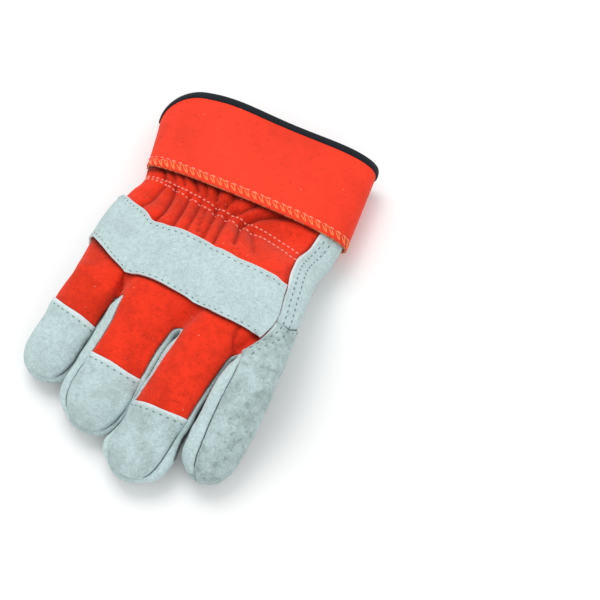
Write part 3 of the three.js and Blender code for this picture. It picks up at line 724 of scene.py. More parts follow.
def pressed(across, along, folds):
    """The depth that folds press into places on the hand, in metres, and how near each is to a fold's line"""
    s = sizes()
    x, y = across * s.palm_width, along * s.palm_length
    depth, near = np.zeros_like(x), np.zeros_like(x)
    for fold in folds:
        gap = np.full_like(x, 1)
        line = [(a * s.palm_width, b * s.palm_length) for a, b in fold.line]
        for (ax, ay), (bx, by) in zip(line, line[1:]):
            dx, dy = bx - ax, by - ay
            t = np.clip(((x - ax) * dx + (y - ay) * dy) / (dx * dx + dy * dy), 0, 1)
            gap = np.minimum(gap, np.hypot(x - ax - t * dx, y - ay - t * dy))
        gap /= fold.width * MM
        depth = np.minimum(depth, -fold.depth * MM * (0.5 * bump(gap, 1) + 0.5 * np.exp(-2.4 * gap)))
        near = np.maximum(near, bump(gap, 0.4) * min(fold.depth / 1.6, 1))
    return depth, near


# How far the strap's two edges lie from their rows of the skin, in rows, at columns across the back
StrapEdge = namedtuple("StrapEdge", "column upper lower")
STRAP_EDGES = [StrapEdge(*at) for at in (
    (0, 0.33, 0.3), (2.4, 0.33, 0.28), (3.4, 0.36, 0.3), (4.6, 0.62, 0.79), (5.3, 0.66, 0.88),
    (6.15, 0.56, 0.78), (7.1, 0.4, 0.62), (8.2, 0.08, 0.64), (9.7, 0.06, 0.32), (10.4, 0.02, 0.45),
    (11.3, 0.22, 0.62), (13.2, 0.06, 0.79), (14.5, -0.01, 1.1), (15.8, -0.04, 1.33), (16.4, -0.03, 1.1),
    (17.1, -0.02, 0.76), (18, -0.12, 0.32), (19.4, -0.22, 0.34), (20, -0.24, 0.5),
)]


def strap_edge(column, name):
    """The row of the skin at which an edge of the strap lies, its corners rounded"""
    columns = [at.column for at in STRAP_EDGES]
    shifts = [getattr(at, name) for at in STRAP_EDGES]
    near = sum(np.interp(column + step, columns, shifts) for step in (-0.5, -0.2, 0, 0.2, 0.5)) / 5
    return near + (STRAP_FIRST if name == "upper" else STRAP_LAST)


def tip_line(i, count):
    """The places along the seam round a fingertip, from its left side to its right or to the index's end"""
    if i == len(FINGERS) - 1:
        return [(HALF_SIDE, lerp(TIP_SEAM[0], FINGER_ROWS - 0.1, k / count)) for k in range(count + 1)]
    left = 0 if i == 0 else HALF_SIDE
    middle, half = (left + RIGHT_SEAM) / 2, (RIGHT_SEAM - left) / 2
    low, high = TIP_SEAM
    angles = [math.pi * (1 - k / count) for k in range(count + 1)]
    curve = [(boxed(math.cos(a), TIP_ROUNDNESS), boxed(math.sin(a), TIP_ROUNDNESS)) for a in angles]
    return [(middle + half * across, low + (high - low) * up) for across, up in curve]


# The soft surface's measures: the groove along a turned seam, the gap left between two fingers, how far the
# leather between them bulges at most, and how much deeper the folds are than in their table
GROOVE_DEPTH, GROOVE_WIDTH = 0.9 * MM, 0.7 * MM
FINGER_GAP = 1.3 * MM
BULGE = 2.4 * MM
FOLD_DEPTH = 2.1


def tree_of(points):
    """A tree in which the nearest of some points is found"""
    tree = kdtree.KDTree(len(points))
    for i, point in enumerate(points):
        tree.insert(point, i)
    tree.balance()
    return tree


class Skin:
    """The glove's skin, finely divided: its mesh, and for each patch a grid of its vertices to sew along"""

    def __init__(self):
        self.steps = 2**FINENESS
        self.mesh = subdivided(skin_cage())
        self.plain = array_of(self.mesh.vertices, "co", 3)
        self.normals = array_of(self.mesh.vertex_normals, "vector", 3)
        self.read_places()
        self.find_seams()
        self.points = self.plain + self.normals * self.relief()[:, None]
        self.points[:, 2] = np.maximum(self.points[:, 2], 0)
        self.mesh.vertices.foreach_set("co", self.points.ravel())
        # The seam attribute: dark turned seams, partly painted shade in their grooves, and painted shade in
        # the finger gaps
        seam_darkness = 0.8 + 0.2 * ripple(self.plain, 5 * MM, 41) - 0.3 * self.faint
        groove = np.exp(-self.turned / GROOVE_WIDTH)
        self.seam = np.maximum(groove * seam_darkness, 0.9 * self.gap_shade).astype(np.float32)
        for name in ("seam", "lapped", "crease", "shaded"):
            values = getattr(self, name)
            self.mesh.attributes.new(name, "FLOAT", "POINT").data.foreach_set("value", values)

    def read_places(self):
        """Each vertex's patch, column and row, and each patch's grid of vertices"""
        uv = array_of(self.mesh.uv_layers["place"].uv, "vector", 2)
        corner = array_of(self.mesh.loops, "vertex_index", 1, np.int32)
        counts = array_of(self.mesh.polygons, "loop_total", 1, np.int32)
        patch = np.repeat(array_of(self.mesh.attributes["patch"].data, "value", 1, np.int32), counts)
        self.patch = np.zeros(len(self.plain), np.int32)
        self.place = np.zeros((len(self.plain), 2), np.float32)
        self.grids = {}
        for number in reversed(range(len(PATCHES))):
            chosen = patch == number
            self.patch[corner[chosen]] = number
            self.place[corner[chosen]] = uv[chosen]
            cells = np.rint(uv[chosen] * self.steps).astype(int)
            grid = np.full(cells.max(0) + 1, -1)
            grid[cells[:, 0], cells[:, 1]] = corner[chosen]
            self.grids[PATCHES[number]] = grid

    def find_seams(self):
        """How far each vertex lies from a turned seam, and from the edge of leather lapped over cloth"""
        on_tip = (self.patch > 0) & (self.patch <= len(FINGERS)) & (self.place[:, 1] > TIP_SEAM[0])
        bm = bmesh.new()
        bm.from_mesh(self.mesh)
        surface = BVHTree.FromBMesh(bm)
        tips = [finger_point(i, *place) for i in range(len(FINGERS)) for place in tip_line(i, 200)]
        round_tips = self.distance_to([surface.find_nearest(point + origin())[0] for point in tips])
        piece = bm.faces.layers.int["piece"]
        turned, lapped = set(), set()
        for edge in bm.edges:
            names = {PIECES[face[piece]] for face in edge.link_faces}
            if len(names) < 2:
                continue
            i = edge.verts[0].index
            if on_tip[i]:
                continue
            column = self.place[i][0]
            on_back = self.patch[i] == 0 and BACK_START < column < PALM_START - 0.5
            tip = any(name.endswith("_tip") for name in names)
            over_cloth = "back_cloth" in names and (on_back or tip)
            wall = any(name.startswith("side_wall") for name in names)
            (lapped if over_cloth and not wall else turned).update(v.index for v in edge.verts)
        bm.free()
        self.turned = self.distance_to([self.plain[v] for v in turned])
        self.faint = np.exp(-round_tips / (0.6 * MM))
        self.turned = np.minimum(self.turned, round_tips + 0.15 * MM)
        self.lapped = self.distance_to([self.plain[v] for v in lapped])

    def distance_to(self, chosen):
        """How far each vertex lies from the nearest of the chosen points"""
        tree = tree_of(chosen)
        return np.array([tree.find(p)[2] for p in self.plain], np.float32)

    def relief(self):
        """How far each vertex stands above the plain skin, in metres"""
        s = sizes()
        points = self.plain
        moved = points - np.array(origin(), np.float32)
        across, along = moved[:, 0] / s.palm_width, -moved[:, 1] / s.palm_length
        column = self.place[:, 0]
        on_hand = self.patch == 0
        on_fingers = (self.patch > 0) & (self.patch < PATCHES.index("thumb"))
        cloth = on_hand * ease(0, 1.5, column) * (1 - ease(SEAM_COLUMN - 1, SEAM_COLUMN + 0.2, column))
        top = ease(0.1, 0.5, self.normals[:, 2])

        # Folds fan out from the wrist, and two folds pinch the skin at the forks of the fingers
        wrist = cloth * (1 - ease(0.42, 0.62, along))
        height, near = pressed(across, along, GATHERS)
        height *= FOLD_DEPTH * wrist
        # How near each vertex is to a fold's line, darkened in the cloth's look as painted shade in the
        # creases
        self.crease = near * wrist
        pinches, near = pressed(across, along, PINCHES)
        top_skin = top * (on_hand | on_fingers)
        height += top_skin * pinches
        self.crease = np.maximum(self.crease, near * top_skin).astype(np.float32)

        # The two elastic rows draw the cloth in, and it puffs up above and below them
        gathered = 1 - 0.75 * ease(0.06, 0.2, across)
        upper, lower = ((along - shirring_at(across, k)) * s.palm_length for k in range(2))
        sway = ripple(points, 12 * MM, 5) * 1.5
        ribs = np.sin(across * s.palm_width * 2 * math.pi / s.shirring_pitch + sway)
        height += wrist * bump((upper + lower) / 2, 2.6 * MM) * (0.32 * ribs * gathered - 0.6) * MM
        puff = bump(upper + 5 * MM, 3.5 * MM) + 0.8 * bump(lower - 8 * MM, 5 * MM)
        height += wrist * gathered * puff * (1.1 + 0.5 * ripple(points, 6 * MM, 31)) * MM

        # The cloth is in shade beside the strap and where it comes out of the cuff
        under_strap = (self.place[:, 1] - strap_edge(column, "lower")) / 0.4
        under_cuff = 1 - ease(-0.014, 0.01, along + 0.004 * ripple(points, 5 * MM, 51))
        self.shaded = (cloth * np.maximum(bump(under_strap, 1), under_cuff)).astype(np.float32)

        # Leather and cloth are a little uneven all over, and drawn in along the turned seams
        height += self.plumpness(column)
        soft = np.where(self.patch == PATCHES.index("thumb"), 0.5, 1)
        height += soft * (ripple(points, 17 * MM, 11) * 0.42 + ripple(points, 8 * MM, 12) * 0.16) * MM
        height += ripple(points, 3.4 * MM, 13) * 0.05 * MM
        uneven = 1 + 0.3 * ripple(points, 3 * MM, 21)
        height -= GROOVE_DEPTH * np.exp(-self.turned / GROOVE_WIDTH) * uneven
        height += 0.25 * MM * bump(self.turned - 2.2 * MM, 1.2 * MM)
        return height

    def plumpness(self, column):
        """How far the leather between two fingers bulges, leaving a narrow gap, and the painted shade deep in
        that gap
        """
        height = np.zeros(len(self.plain))
        self.gap_shade = np.zeros(len(self.plain))
        beside = [tree_of(self.plain[self.patch == i + 1]) for i in range(len(FINGERS))]
        right = ease(RIGHT_SEAM, RIGHT_SEAM + 1.2, column) * (1 - ease(UNDER_START - 1, UNDER_START, column))
        left = np.maximum(1 - ease(0.8, 2, column), ease(FINGER_COLUMNS - 2, FINGER_COLUMNS - 1, column))
        from_fork = ease(0.15, 1.2, self.place[:, 1]) * (1 - ease(8.6, 10.6, self.place[:, 1]))
        upward = self.normals[:, 2]
        for i in range(len(FINGERS)):
            for other, side in ((i + 1, right), (i - 1, left)):
                if not 0 <= other < len(FINGERS):
                    continue
                for v in np.flatnonzero((self.patch == i + 1) & (side > 0)):
                    gap = beside[other].find(self.plain[v])[2]
                    height[v] = side[v] * from_fork[v] * clamp((gap - FINGER_GAP) / 2, 0, BULGE)
                    left_open = max(gap - 2 * height[v] - FINGER_GAP, 0)
                    # Painted shade deep in the narrow gap, less where the wall faces up
                    self.gap_shade[v] = side[v] * bump(left_open, 0.62 * MM)
                    self.gap_shade[v] *= 1 - smoothstep(0.36, 0.58, upward[v])
        return height

    def at(self, patch, column, row, plain=False):
        """The skin's point and normal at a place of a patch, between its vertices"""
        grid = self.grids[patch]
        u, v = column * self.steps, row * self.steps
        i = int(clamp(u, 0, grid.shape[0] - 2))
        j = int(clamp(v, 0, grid.shape[1] - 2))
        corners = [grid[i, j], grid[i + 1, j], grid[i, j + 1], grid[i + 1, j + 1]]
        fu, fv = u - i, v - j
        weights = np.array([(1 - fu) * (1 - fv), fu * (1 - fv), (1 - fu) * fv, fu * fv])
        point = weights @ (self.plain if plain else self.points)[corners]
        return Vector(point), Vector(weights @ self.normals[corners]).normalized()

    def beside(self, patch, column, row, way, distance):
        """The place a distance along the skin from another, the way that columns and rows rise"""
        step = 1 / self.steps
        point, gone = self.at(patch, column, row)[0], 0
        while True:
            after = (column + way[0] * step, row + way[1] * step)
            ahead = self.at(patch, *after)[0]
            run = max((ahead - point).length, 0.001 * MM)
            if gone + run >= distance:
                share = (distance - gone) / run
                return lerp(column, after[0], share), lerp(row, after[1], share)
            gone += run
            column, row = after
            point = ahead


@cache
def skin():
    return Skin()


# Shader nodes

class Value:
    """A shader node's output, on which arithmetic makes further nodes"""

    def __init__(self, look, socket):
        self.look, self.socket = look, socket

    def __add__(self, other):
        return self.look.math("ADD", self, other)

    def __sub__(self, other):
        return self.look.math("SUBTRACT", self, other)

    def __rsub__(self, other):
        return self.look.math("SUBTRACT", other, self)

    def __mul__(self, other):
        return self.look.math("MULTIPLY", self, other)

    def __truediv__(self, other):
        return self.look.math("DIVIDE", self, other)

    __radd__ = __add__

    def step(self, low, high):
        """0 below low and 1 above high, or the other way round"""
        return self.look.node(
            "MapRange", {"interpolation_type": "SMOOTHSTEP"}, Value=self, From_Min=low, From_Max=high
        )


class Look:
    """A material and its nodes, with its base colour and its tone so far, at first a shade of the base"""

    def __init__(self, name, base, start=1, **constants):
        self.material = bpy.data.materials.new(name)
        self.material.use_nodes = True
        self.tree = self.material.node_tree
        self.surface = self.tree.nodes["Principled BSDF"]
        self.put(self.surface, constants)
        self.place = self.node("TexCoord", output="Object")
        self.base, self.tone = base, shade(base, start)

    def put(self, node, inputs):
        for name, value in inputs.items():
            socket = node.inputs[name if isinstance(name, int) else name.replace("_", " ")]
            if isinstance(value, Value):
                self.tree.links.new(value.socket, socket)
            else:
                socket.default_value = value

    def node(self, kind, settings=None, output=0, **inputs):
        made = self.tree.nodes.new("ShaderNode" + kind)
        for name, value in (settings or {}).items():
            setattr(made, name, value)
        self.put(made, inputs)
        return Value(self, made.outputs[output])

    def math(self, operation, *values):
        made = self.tree.nodes.new("ShaderNodeMath")
        made.operation = operation
        self.put(made, dict(enumerate(values)))
        return Value(self, made.outputs[0])

    def noise(self, size, detail=2, roughness=0.5):
        """Noise from 0 to 1 whose patches are about a size across"""
        inputs = {"Scale": 0.5 / size, "Detail": detail, "Roughness": roughness}
        return self.node("TexNoise", {"normalize": True}, Vector=self.place, **inputs)

    def dots(self, distance):
        """How far each place lies from scattered dots a distance apart, in shares of that distance"""
        return self.node("TexVoronoi", output="Distance", Vector=self.place, Scale=1 / distance)

    def ribs(self, along, pitch):
        """Ribs from 0 to 1, a pitch apart"""
        return self.math("SINE", along * (2 * math.pi / pitch)) * 0.5 + 0.5

    def attribute(self, name):
        return self.node("Attribute", {"attribute_name": name}, output="Fac")

    def cover(self, share, rgb):
        """Lays a colour over the tone, as strongly as share"""
        made = self.tree.nodes.new("ShaderNodeMix")
        made.data_type = "RGBA"
        self.put(made, {0: share})
        # The node's two colours come in at sockets 6 and 7, and their mix goes out at 2
        for socket, value in ((made.inputs[6], self.tone), (made.inputs[7], rgb)):
            if isinstance(value, Value):
                self.tree.links.new(value.socket, socket)
            else:
                socket.default_value = (*value, 1)
        self.tone = Value(self, made.outputs[2])

    def tint(self, share, factor):
        """Lays a shade of the base colour over the tone, as strongly as share"""
        self.cover(share, shade(self.base, factor))

    def finish(self, height, distance=0.3 * MM, roughness=None):
        """Puts the tone, and bumps of a height from 0 to 1 times the distance, on the surface"""
        relief = self.node("Bump", output="Normal", Height=height, Distance=distance, Strength=1.0)
        self.put(self.surface, {"Base_Color": self.tone, "Normal": relief})
        if roughness is not None:
            self.put(self.surface, {"Roughness": roughness})
        return self.material


def colours():
    return bpy.context.scene.glove_colours


def shade(rgb, factor):
    return tuple(min(channel * factor, 1) for channel in rgb)


# How dirty the leather is, from 0 for clean: most of it, and the pieces that are dirtier
LITTLE_DIRT = 0.25
DIRT = {"index_back": 1.2, "ring_tip": 0.55, "middle_tip": 0.75}
# How much paler the leather of the walls between the fingers is made: painted light on walls deep in the
# narrow gaps
WALL_PAINTED_LIGHT = 1.05


@cache
def leather_look(dirt, pale=1):
    """Split leather: a matt grey nap with fine wrinkles, and paler and dirtier patches, with painted shade in
    its hollows
    """
    # pale lightens the whole leather: painted light for the walls between the fingers
    look = Look(
        f"leather {dirt} {pale}", shade(colours().leather, pale), 0.95,
        Roughness=0.93, Specular_IOR_Level=0.2, Sheen_Weight=0.12, Sheen_Roughness=0.6,
    )
    red, green, blue = look.base
    patches = look.noise(9 * MM, 3, 0.5)
    nap = look.noise(1.1 * MM, 4, 0.7)
    fibres = look.noise(0.5 * MM, 3, 0.7)
    wrinkles = look.math("ABSOLUTE", look.noise(2.6 * MM, 3, 0.55) - 0.5).step(0, 0.09)
    grime = (look.noise(6 * MM, 5, 0.7) * 0.65 + nap * 0.35).step(0.5 - 0.09 * dirt, 0.64)
    look.tint(patches.step(0.3, 0.7), 1.04)
    look.tint(nap.step(0.56, 0.36) * 0.42, 0.62)
    # Painted shade in the valleys of the fine wrinkles
    look.tint((1 - wrinkles) * 0.14, 0.55)
    look.tint(fibres.step(0.48, 0.7) * 0.5, 1.35)
    look.cover(grime * (0.6 * dirt), (red * 0.46, green * 0.49, blue * 0.45))
    specks = look.noise(1.6 * MM, 4, 0.8).step(0.5, 0.64) * (grime * 0.5 + 0.25)
    look.cover(specks * (0.75 * dirt), (red * 0.3, green * 0.34, blue * 0.33))
    edge = (look.attribute("edge") / (0.8 * MM) + nap * 0.9).step(1.35, 0.5)
    look.cover(edge * 0.75, colours().leather_edge)
    # Dark turned seams, partly painted shade in their grooves, and painted shade in the gaps between the
    # fingers
    look.tint(look.attribute("seam").step(0.3, 0.85) * 0.85, 0.16)
    height = nap * 0.9 + fibres * 0.35 + wrinkles * 0.3 + look.noise(4.5 * MM, 3, 0.55) * 1.5
    return look.finish(height, 0.36 * MM)


@cache
def raw_edge_look():
    """The cut edge of the leather, nearly white"""
    look = Look("raw edge", colours().leather_edge, 0.62, Roughness=0.95, Specular_IOR_Level=0.15)
    fibres = look.noise(0.5 * MM, 3, 0.7)
    look.tint(fibres, 0.95)
    return look.finish(fibres, 0.2 * MM)


@cache
def cloth_look():
    """Brushed cotton drill: a fine diagonal weave, darker mottling and lint, with painted shade in folds,
    beside edges and at seams
    """
    look = Look(
        "cloth", colours().cloth, Roughness=0.95, Specular_IOR_Level=0.15, Sheen_Weight=0.25,
        Sheen_Roughness=0.5, Sheen_Tint=(1.0, 0.5, 0.4, 1),
    )
    x, y = (look.node("SeparateXYZ", output=axis, Vector=look.place) for axis in "XY")
    twill = look.ribs(x * 0.8 + y * 0.6, 0.75 * MM)
    fuzz = look.noise(0.6 * MM, 3, 0.7)
    mottle = look.noise(3.4 * MM, 4, 0.75)
    patches = look.noise(15 * MM, 3, 0.6)
    look.tint((mottle * 0.6 + patches * 0.55).step(0.47, 0.7) * 0.45, 0.4)
    # Painted shade in the creases of the folds
    look.tint(look.attribute("crease") * 0.68, 0.2)
    look.tint(look.attribute("shaded") * 0.9, 0.08)
    look.tint(fuzz.step(0.45, 0.75) * 0.35, 1.25)
    look.tint(look.noise(1.0 * MM, 3, 0.75).step(0.52, 0.7) * 0.45, 0.42)
    # Dark turned seams, partly painted shade in their grooves, and painted shade in the gaps between the
    # fingers
    look.tint(look.attribute("seam").step(0.3, 0.85) * 0.8, 0.12)
    # Painted shade on the cloth beside the edges of the leather lapped over it
    look.tint(look.attribute("lapped").step(3.1 * MM, 1.2 * MM) * 0.5, 0.15)
    look.cover(look.dots(6 * MM).step(0.06, 0.03) * fuzz.step(0.4, 0.6) * 0.6, (1.0, 0.62, 0.5))
    return look.finish(twill * 0.3 + fuzz * 0.7 + mottle * 1.3, 0.26 * MM)


@cache
def cuff_look():
    """Rubberised cloth, smooth with a dull gloss and small specks"""
    look = Look("cuff cloth", colours().cuff, 0.86, Roughness=0.7, Specular_IOR_Level=0.25)
    grain = look.noise(0.7 * MM, 3, 0.6)
    look.tint(look.noise(22 * MM, 3, 0.6).step(0.3, 0.7), 1.08)
    look.tint(look.noise(2.4 * MM, 4, 0.75).step(0.5, 0.68) * 0.25, 0.6)
    look.tint(look.noise(1.0 * MM, 2, 0.6).step(0.64, 0.72) * 0.5, 0.4)
    look.cover(look.dots(7 * MM).step(0.055, 0.03) * 0.5, (1.0, 0.5, 0.4))
    return look.finish(grain + look.noise(9 * MM, 3, 0.5) * 3.5, 0.14 * MM, 0.62 + grain * 0.2)


@cache
def binding_look():
    """Woven tape, dark, with ribs across it"""
    look = Look("binding", colours().binding, 0.5, Roughness=0.85, Specular_IOR_Level=0.2, Sheen_Weight=0.1)
    ribs = look.ribs(look.attribute("round"), 1.1 * MM)
    fuzz = look.noise(0.5 * MM, 3, 0.6)
    look.tint(ribs * fuzz, 1.7)
    return look.finish(ribs + fuzz * 0.6, 0.25 * MM)


@cache
def thread_look(name):
    """Sewing thread, its plies twisted, in the colour of its name"""
    colour_of = getattr(colours(), name.replace(" ", "_"))
    look = Look(name, colour_of, 0.75, Roughness=0.75, Specular_IOR_Level=0.3, Sheen_Weight=0.15)
    fuzz = look.noise(0.3 * MM, 2, 0.6)
    look.tint(fuzz, 1.2)
    return look.finish(fuzz, 0.1 * MM)


@cache
def cut_look():
    """The cuff's raw lower edge, its backing cloth showing"""
    look = Look("cuff edge", (0.5, 0.05, 0.02), Roughness=0.9, Specular_IOR_Level=0.2)
    fuzz = look.noise(1.2 * MM, 3, 0.7)
    look.cover(fuzz.step(0.4, 0.6), (0.6, 0.3, 0.14))
    return look.finish(fuzz, 0.2 * MM)


@cache
def plain_look():
    """The finish of the frame's own parts, which stand inside the finished pieces"""
    look = Look("frame", (0.4, 0.4, 0.4), Roughness=0.9)
    look.tint(look.noise(5 * MM), 1.25)
    return look.finish(look.noise(1 * MM))


@cache
def floor_look():
    look = Look("floor", colours().floor, 0.99, Roughness=0.7, Specular_IOR_Level=0.2)
    look.tint(look.noise(200 * MM), 1)
    return look.finish(look.noise(2 * MM), 0.01 * MM)


# Making and placing pieces

def add_piece(name, mesh, nodes, slot, *looks):
    """A finished piece of the glove that stands for nodes of the frame, finished in its looks; the slot is
    not used
    """
    if not mesh.polygons:
        raise RuntimeError(f"{name} has no faces")
    mesh.name = name
    for look in looks:
        mesh.materials.append(look)
    mesh.shade_smooth()
    piece = bpy.data.objects.new(name, mesh)
    bpy.context.collection.objects.link(piece)
    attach(piece, "root")
    if nodes:
        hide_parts(*nodes)
    return piece


def give_wall(piece, thickness):
    """Gives a piece a wall under its surface, with its raw edge in the second material"""
    wall = piece.modifiers.new("Wall", "SOLIDIFY")
    wall.thickness = thickness
    wall.offset = -1
    wall.material_offset_rim = 1


def free_edges(bm):
    """For each vertex on an open edge, the way out of the piece along its surface"""
    ways = {}
    for edge in bm.edges:
        if edge.is_boundary:
            loop = edge.link_loops[0]
            run = loop.link_loop_next.vert.co - loop.vert.co
            way = run.cross(loop.face.normal).normalized()
            for v in edge.verts:
                ways[v] = ways.get(v, Vector()) + way
    return {v: way.normalized() for v, way in ways.items()}


def lap_rise(gap):
    """How far leather lapped over cloth stands up at a distance from its edge"""
    return sizes().lap * (1 - smoothstep(2 * MM, 8 * MM, gap))


# How far leather reaches over the seam that it laps, at a fingertip and elsewhere, and how far its edge
# wanders, in millimetres
TIP_REACH, EDGE_REACH, EDGE_WANDER = 2.2, 0.8, 0.22


def cut_piece(name):
    """A piece cut out of the skin: drawn in at turned seams, and lapped over its neighbour elsewhere"""
    bm = bmesh.new()
    bm.from_mesh(skin().mesh)
    piece = bm.faces.layers.int["piece"]
    number = PIECES.index(name)
    bmesh.ops.delete(bm, geom=[f for f in bm.faces if f[piece] != number], context="FACES")
    lapped, seam = bm.verts.layers.float["lapped"], bm.verts.layers.float["seam"]
    edge = bm.verts.layers.float.new("edge")
    under = name == "back_cloth"
    ways = free_edges(bm)
    bm.normal_update()
    normals = {v: v.normal.copy() for v in bm.verts}
    for v in bm.verts:
        gap = v[lapped]
        v[edge] = 1
        if under:
            v.co -= normals[v] * sizes().lap * 0.9 * bump(gap, 1.9 * MM)
        else:
            v.co += normals[v] * lap_rise(gap)
            v[edge] = gap
    for v, way in ways.items():
        if v[lapped] < 0.01 * MM:
            wave = waves(v.co, (310, 190, 0, 1), (130, -340, 0, 1))
            v.co += way * ((TIP_REACH if name.endswith("_tip") else EDGE_REACH) + EDGE_WANDER * wave) * MM
        else:
            v.co -= way * 0.1 * MM * smoothstep(0.3, 0.8, v[seam])
    return mesh_of(name, bm)


# Half the length and half the width of the stitches, in millimetres
EDGE_STITCH = (0.85, 0.36)
STRIP_STITCH = (1.05, 0.4)
SEAM_STITCH = (0.7, 0.2)
ELASTIC_STITCH = (1.1, 0.6)
CUFF_STITCH = (1.3, 0.4)
OVERLOCK = (3.2, 0.36)
OVERLOCK_EDGE = (2.6, 0.32)
SEAM_PITCH = 2.4 * MM

# How far rows of stitches lie from the edge or the seam that they follow
STRIP_INSETS = (3.2 * MM, 7 * MM)
CROSS_INSET, TIP_INSET, STRAP_INSET = 2.5 * MM, 0.8 * MM, 2.6 * MM


def even_places(path, pitch):
    """Places a pitch apart along a path of points and normals: for each, its point, way and normal"""
    places, carried = [], pitch / 2
    for (p, n), (q, m) in zip(path, path[1:]):
        run, way = (q - p).length, (q - p).normalized()
        while carried <= run:
            share = carried / run
            places.append((p.lerp(q, share), way, n.lerp(m, share).normalized()))
            carried += pitch
        carried -= run
    return places


def sew(bm, path, stitch, pitch, turn=0):
    """Adds a stitch, a low rounded bead, at each pitch of a path, turned by degrees about its normal"""
    half_length, half_width = (half * MM for half in stitch)
    for point, way, normal in even_places(path, pitch):
        side = normal.cross(way).normalized()
        up = way.cross(side).normalized()
        run = Matrix.Rotation(math.radians(turn), 3, up) @ way
        side = up.cross(run)
        matrix = Matrix((side * half_width, up * half_width * 0.8, run * half_length)).transposed().to_4x4()
        matrix.translation = point
        bmesh.ops.create_uvsphere(bm, u_segments=6, v_segments=4, radius=1, matrix=matrix)


def add_stitches(name, bm, slot, thread):
    """Adds a piece of stitches, in the look of their thread"""
    add_piece(name, mesh_of(name, bm), (), slot, thread_look(thread))


def skin_path(patch, places, lift):
    """The path over places of a patch of the skin, lifted off it by a distance"""
    found = [skin().at(patch, *place) for place in places]
    return [(point + normal * lift, normal) for point, normal in found]


def steps(start, stop, count):
    return [lerp(start, stop, i / count) for i in range(count + 1)]


# The knuckle strap: a layer of leather above the cloth. Its width is given at its stitches and at most.

STRAP_WIDTH, STRAP_WIDEST = 38 * MM, 40 * MM


def strap_place(u, v):
    """The strap's point and normal at a share u along it and a share v from its upper to its lower edge"""
    s = sizes()
    column = lerp(0.02, SEAM_COLUMN - 0.21 - 0.05 * math.sin(v * 9), u)
    wave = math.sin(u * 17) + 0.7 * math.sin(u * 41 + 1) + 0.5 * math.sin(u * 73 + v * 2)
    row = lerp(strap_edge(column, "upper"), strap_edge(column, "lower"), v) + wave * 0.035 * (1 - 2 * v)
    point, normal = skin().at("hand", column, row, plain=True)
    if normal.z > 0.3:
        sides = [clamp(column + step, 0, SEAM_COLUMN) for step in (-1.2, 1.2)]
        point.z = max(point.z, sum(skin().at("hand", side, row, plain=True)[0].z for side in sides) / 2)

    # The long edges curl, the leather ripples, and a crease runs down from the upper edge
    curl = 1 - smoothstep(0, 0.12, min(v, 1 - v))
    ripples = waves(point, (120, 60, 0, 0.35), (260, -140, 2, 0.22))
    crease = bump(point.x + 0.36 * point.y + 48 * MM, 2.6 * MM)
    height = 0.75 + 0.35 * ripples - 0.7 * crease * (1 - v) + curl * (0.3 * math.sin(u * 29 + v * 3) + 0.1)
    height += 0.7 * smoothstep(0.88, 1, v)
    fixed = smoothstep(0, 0.06, u)
    return point + normal * (s.leather_wall + lerp(0.1, height, fixed) * MM), normal


def strap_mesh():
    bm = bmesh.new()
    edge = bm.verts.layers.float.new("edge")
    for v, _, _, u, down in flat_grid(bm, 200, 56):
        v[edge] = min(down, 1 - down) * STRAP_WIDEST
        v.co = strap_place(u, down)[0]
    bm.normal_update()
    return mesh_of("strap", bm)


# The cuff. The pitches are those of the threads along its lower edge, which lie in a narrow band.

CUFF_DIVISIONS = 240
CUFF_PITCH, EDGE_PITCH = 4.4 * MM, 6.6 * MM
OVERLOCK_BAND = 5.5 * MM


def cuff_place(u, along, out):
    """A point of the cuff at a share u round it from its pinky side over the back, slightly uneven"""
    angle = math.pi - 2 * math.pi * u
    point = cuff_surface(angle, along, out)
    wave = waves(point, (70, 0, along * 2, 0.35), (150, 90, 1, 0.18))
    settled = math.sin(math.pi * clamp(along))
    hump = bump(point.x + 38 * MM, 24 * MM) - bump(point.x - 14 * MM, 30 * MM)
    point.z += wave * settled * MM + 2.6 * MM * hump * clamp(along) ** 1.5 * max(math.sin(angle), 0)
    point.z = max(point.z, 0)
    return point + origin()


def cuff_path(along, out, rise=0):
    """A path round the cuff, with its normals, that starts a rise further from the cuff's lower edge"""
    path, start = [], along
    for u in steps(0.005, 0.995, 400):
        along = start + rise * (1 - smoothstep(0, 0.22, u))
        point = cuff_place(u, along, out)
        normal = (point - cuff_place(u, along, out - 1 * MM)).normalized()
        path.append((point, normal))
    return path


def tube_mesh(name, profile):
    """A closed tube of the cuff's outline over a profile of places along and out of it"""
    bm = bmesh.new()
    way = bm.verts.layers.float.new("round")
    for v, _, row, u, _ in flat_grid(bm, CUFF_DIVISIONS, len(profile) - 1):
        v[way] = u * 2 * (sizes().cuff_width + sizes().cuff_depth)
        v.co = cuff_place(u % 1, *profile[row])
    bmesh.ops.remove_doubles(bm, verts=bm.verts, dist=0.01 * MM)
    return mesh_of(name, bm)


# Operators, one for each piece or group of like pieces

HALVINGS = 18


class GLOVE_OT_cloth(bpy.types.Operator):
    """Builds the cloth back"""

    bl_idname = "glove.cloth"
    bl_label = "Build the cloth back"

    def execute(self, context):
        looks = cloth_look(), cloth_look()
        piece = add_piece("back_cloth_look", cut_piece("back_cloth"), ["back_cloth"], "cloth", *looks)
        give_wall(piece, sizes().cloth_wall)
        return {"FINISHED"}


class GLOVE_OT_leather(bpy.types.Operator):
    """Builds the palm, the index finger's back, the walls between the fingers, the tips and the thumb"""

    bl_idname = "glove.leather"
    bl_label = "Build the leather"

    def execute(self, context):
        for name in PIECES:
            if name in ("none", "back_cloth"):
                continue
            between = name.startswith("side_wall")
            # The walls between the fingers are made paler, as painted light
            look = leather_look(DIRT.get(name, LITTLE_DIRT), WALL_PAINTED_LIGHT if between else 1)
            piece = add_piece(name + "_look", cut_piece(name), [name], "leather", look, raw_edge_look())
            give_wall(piece, sizes().side_wall if between else sizes().leather_wall)
        return {"FINISHED"}


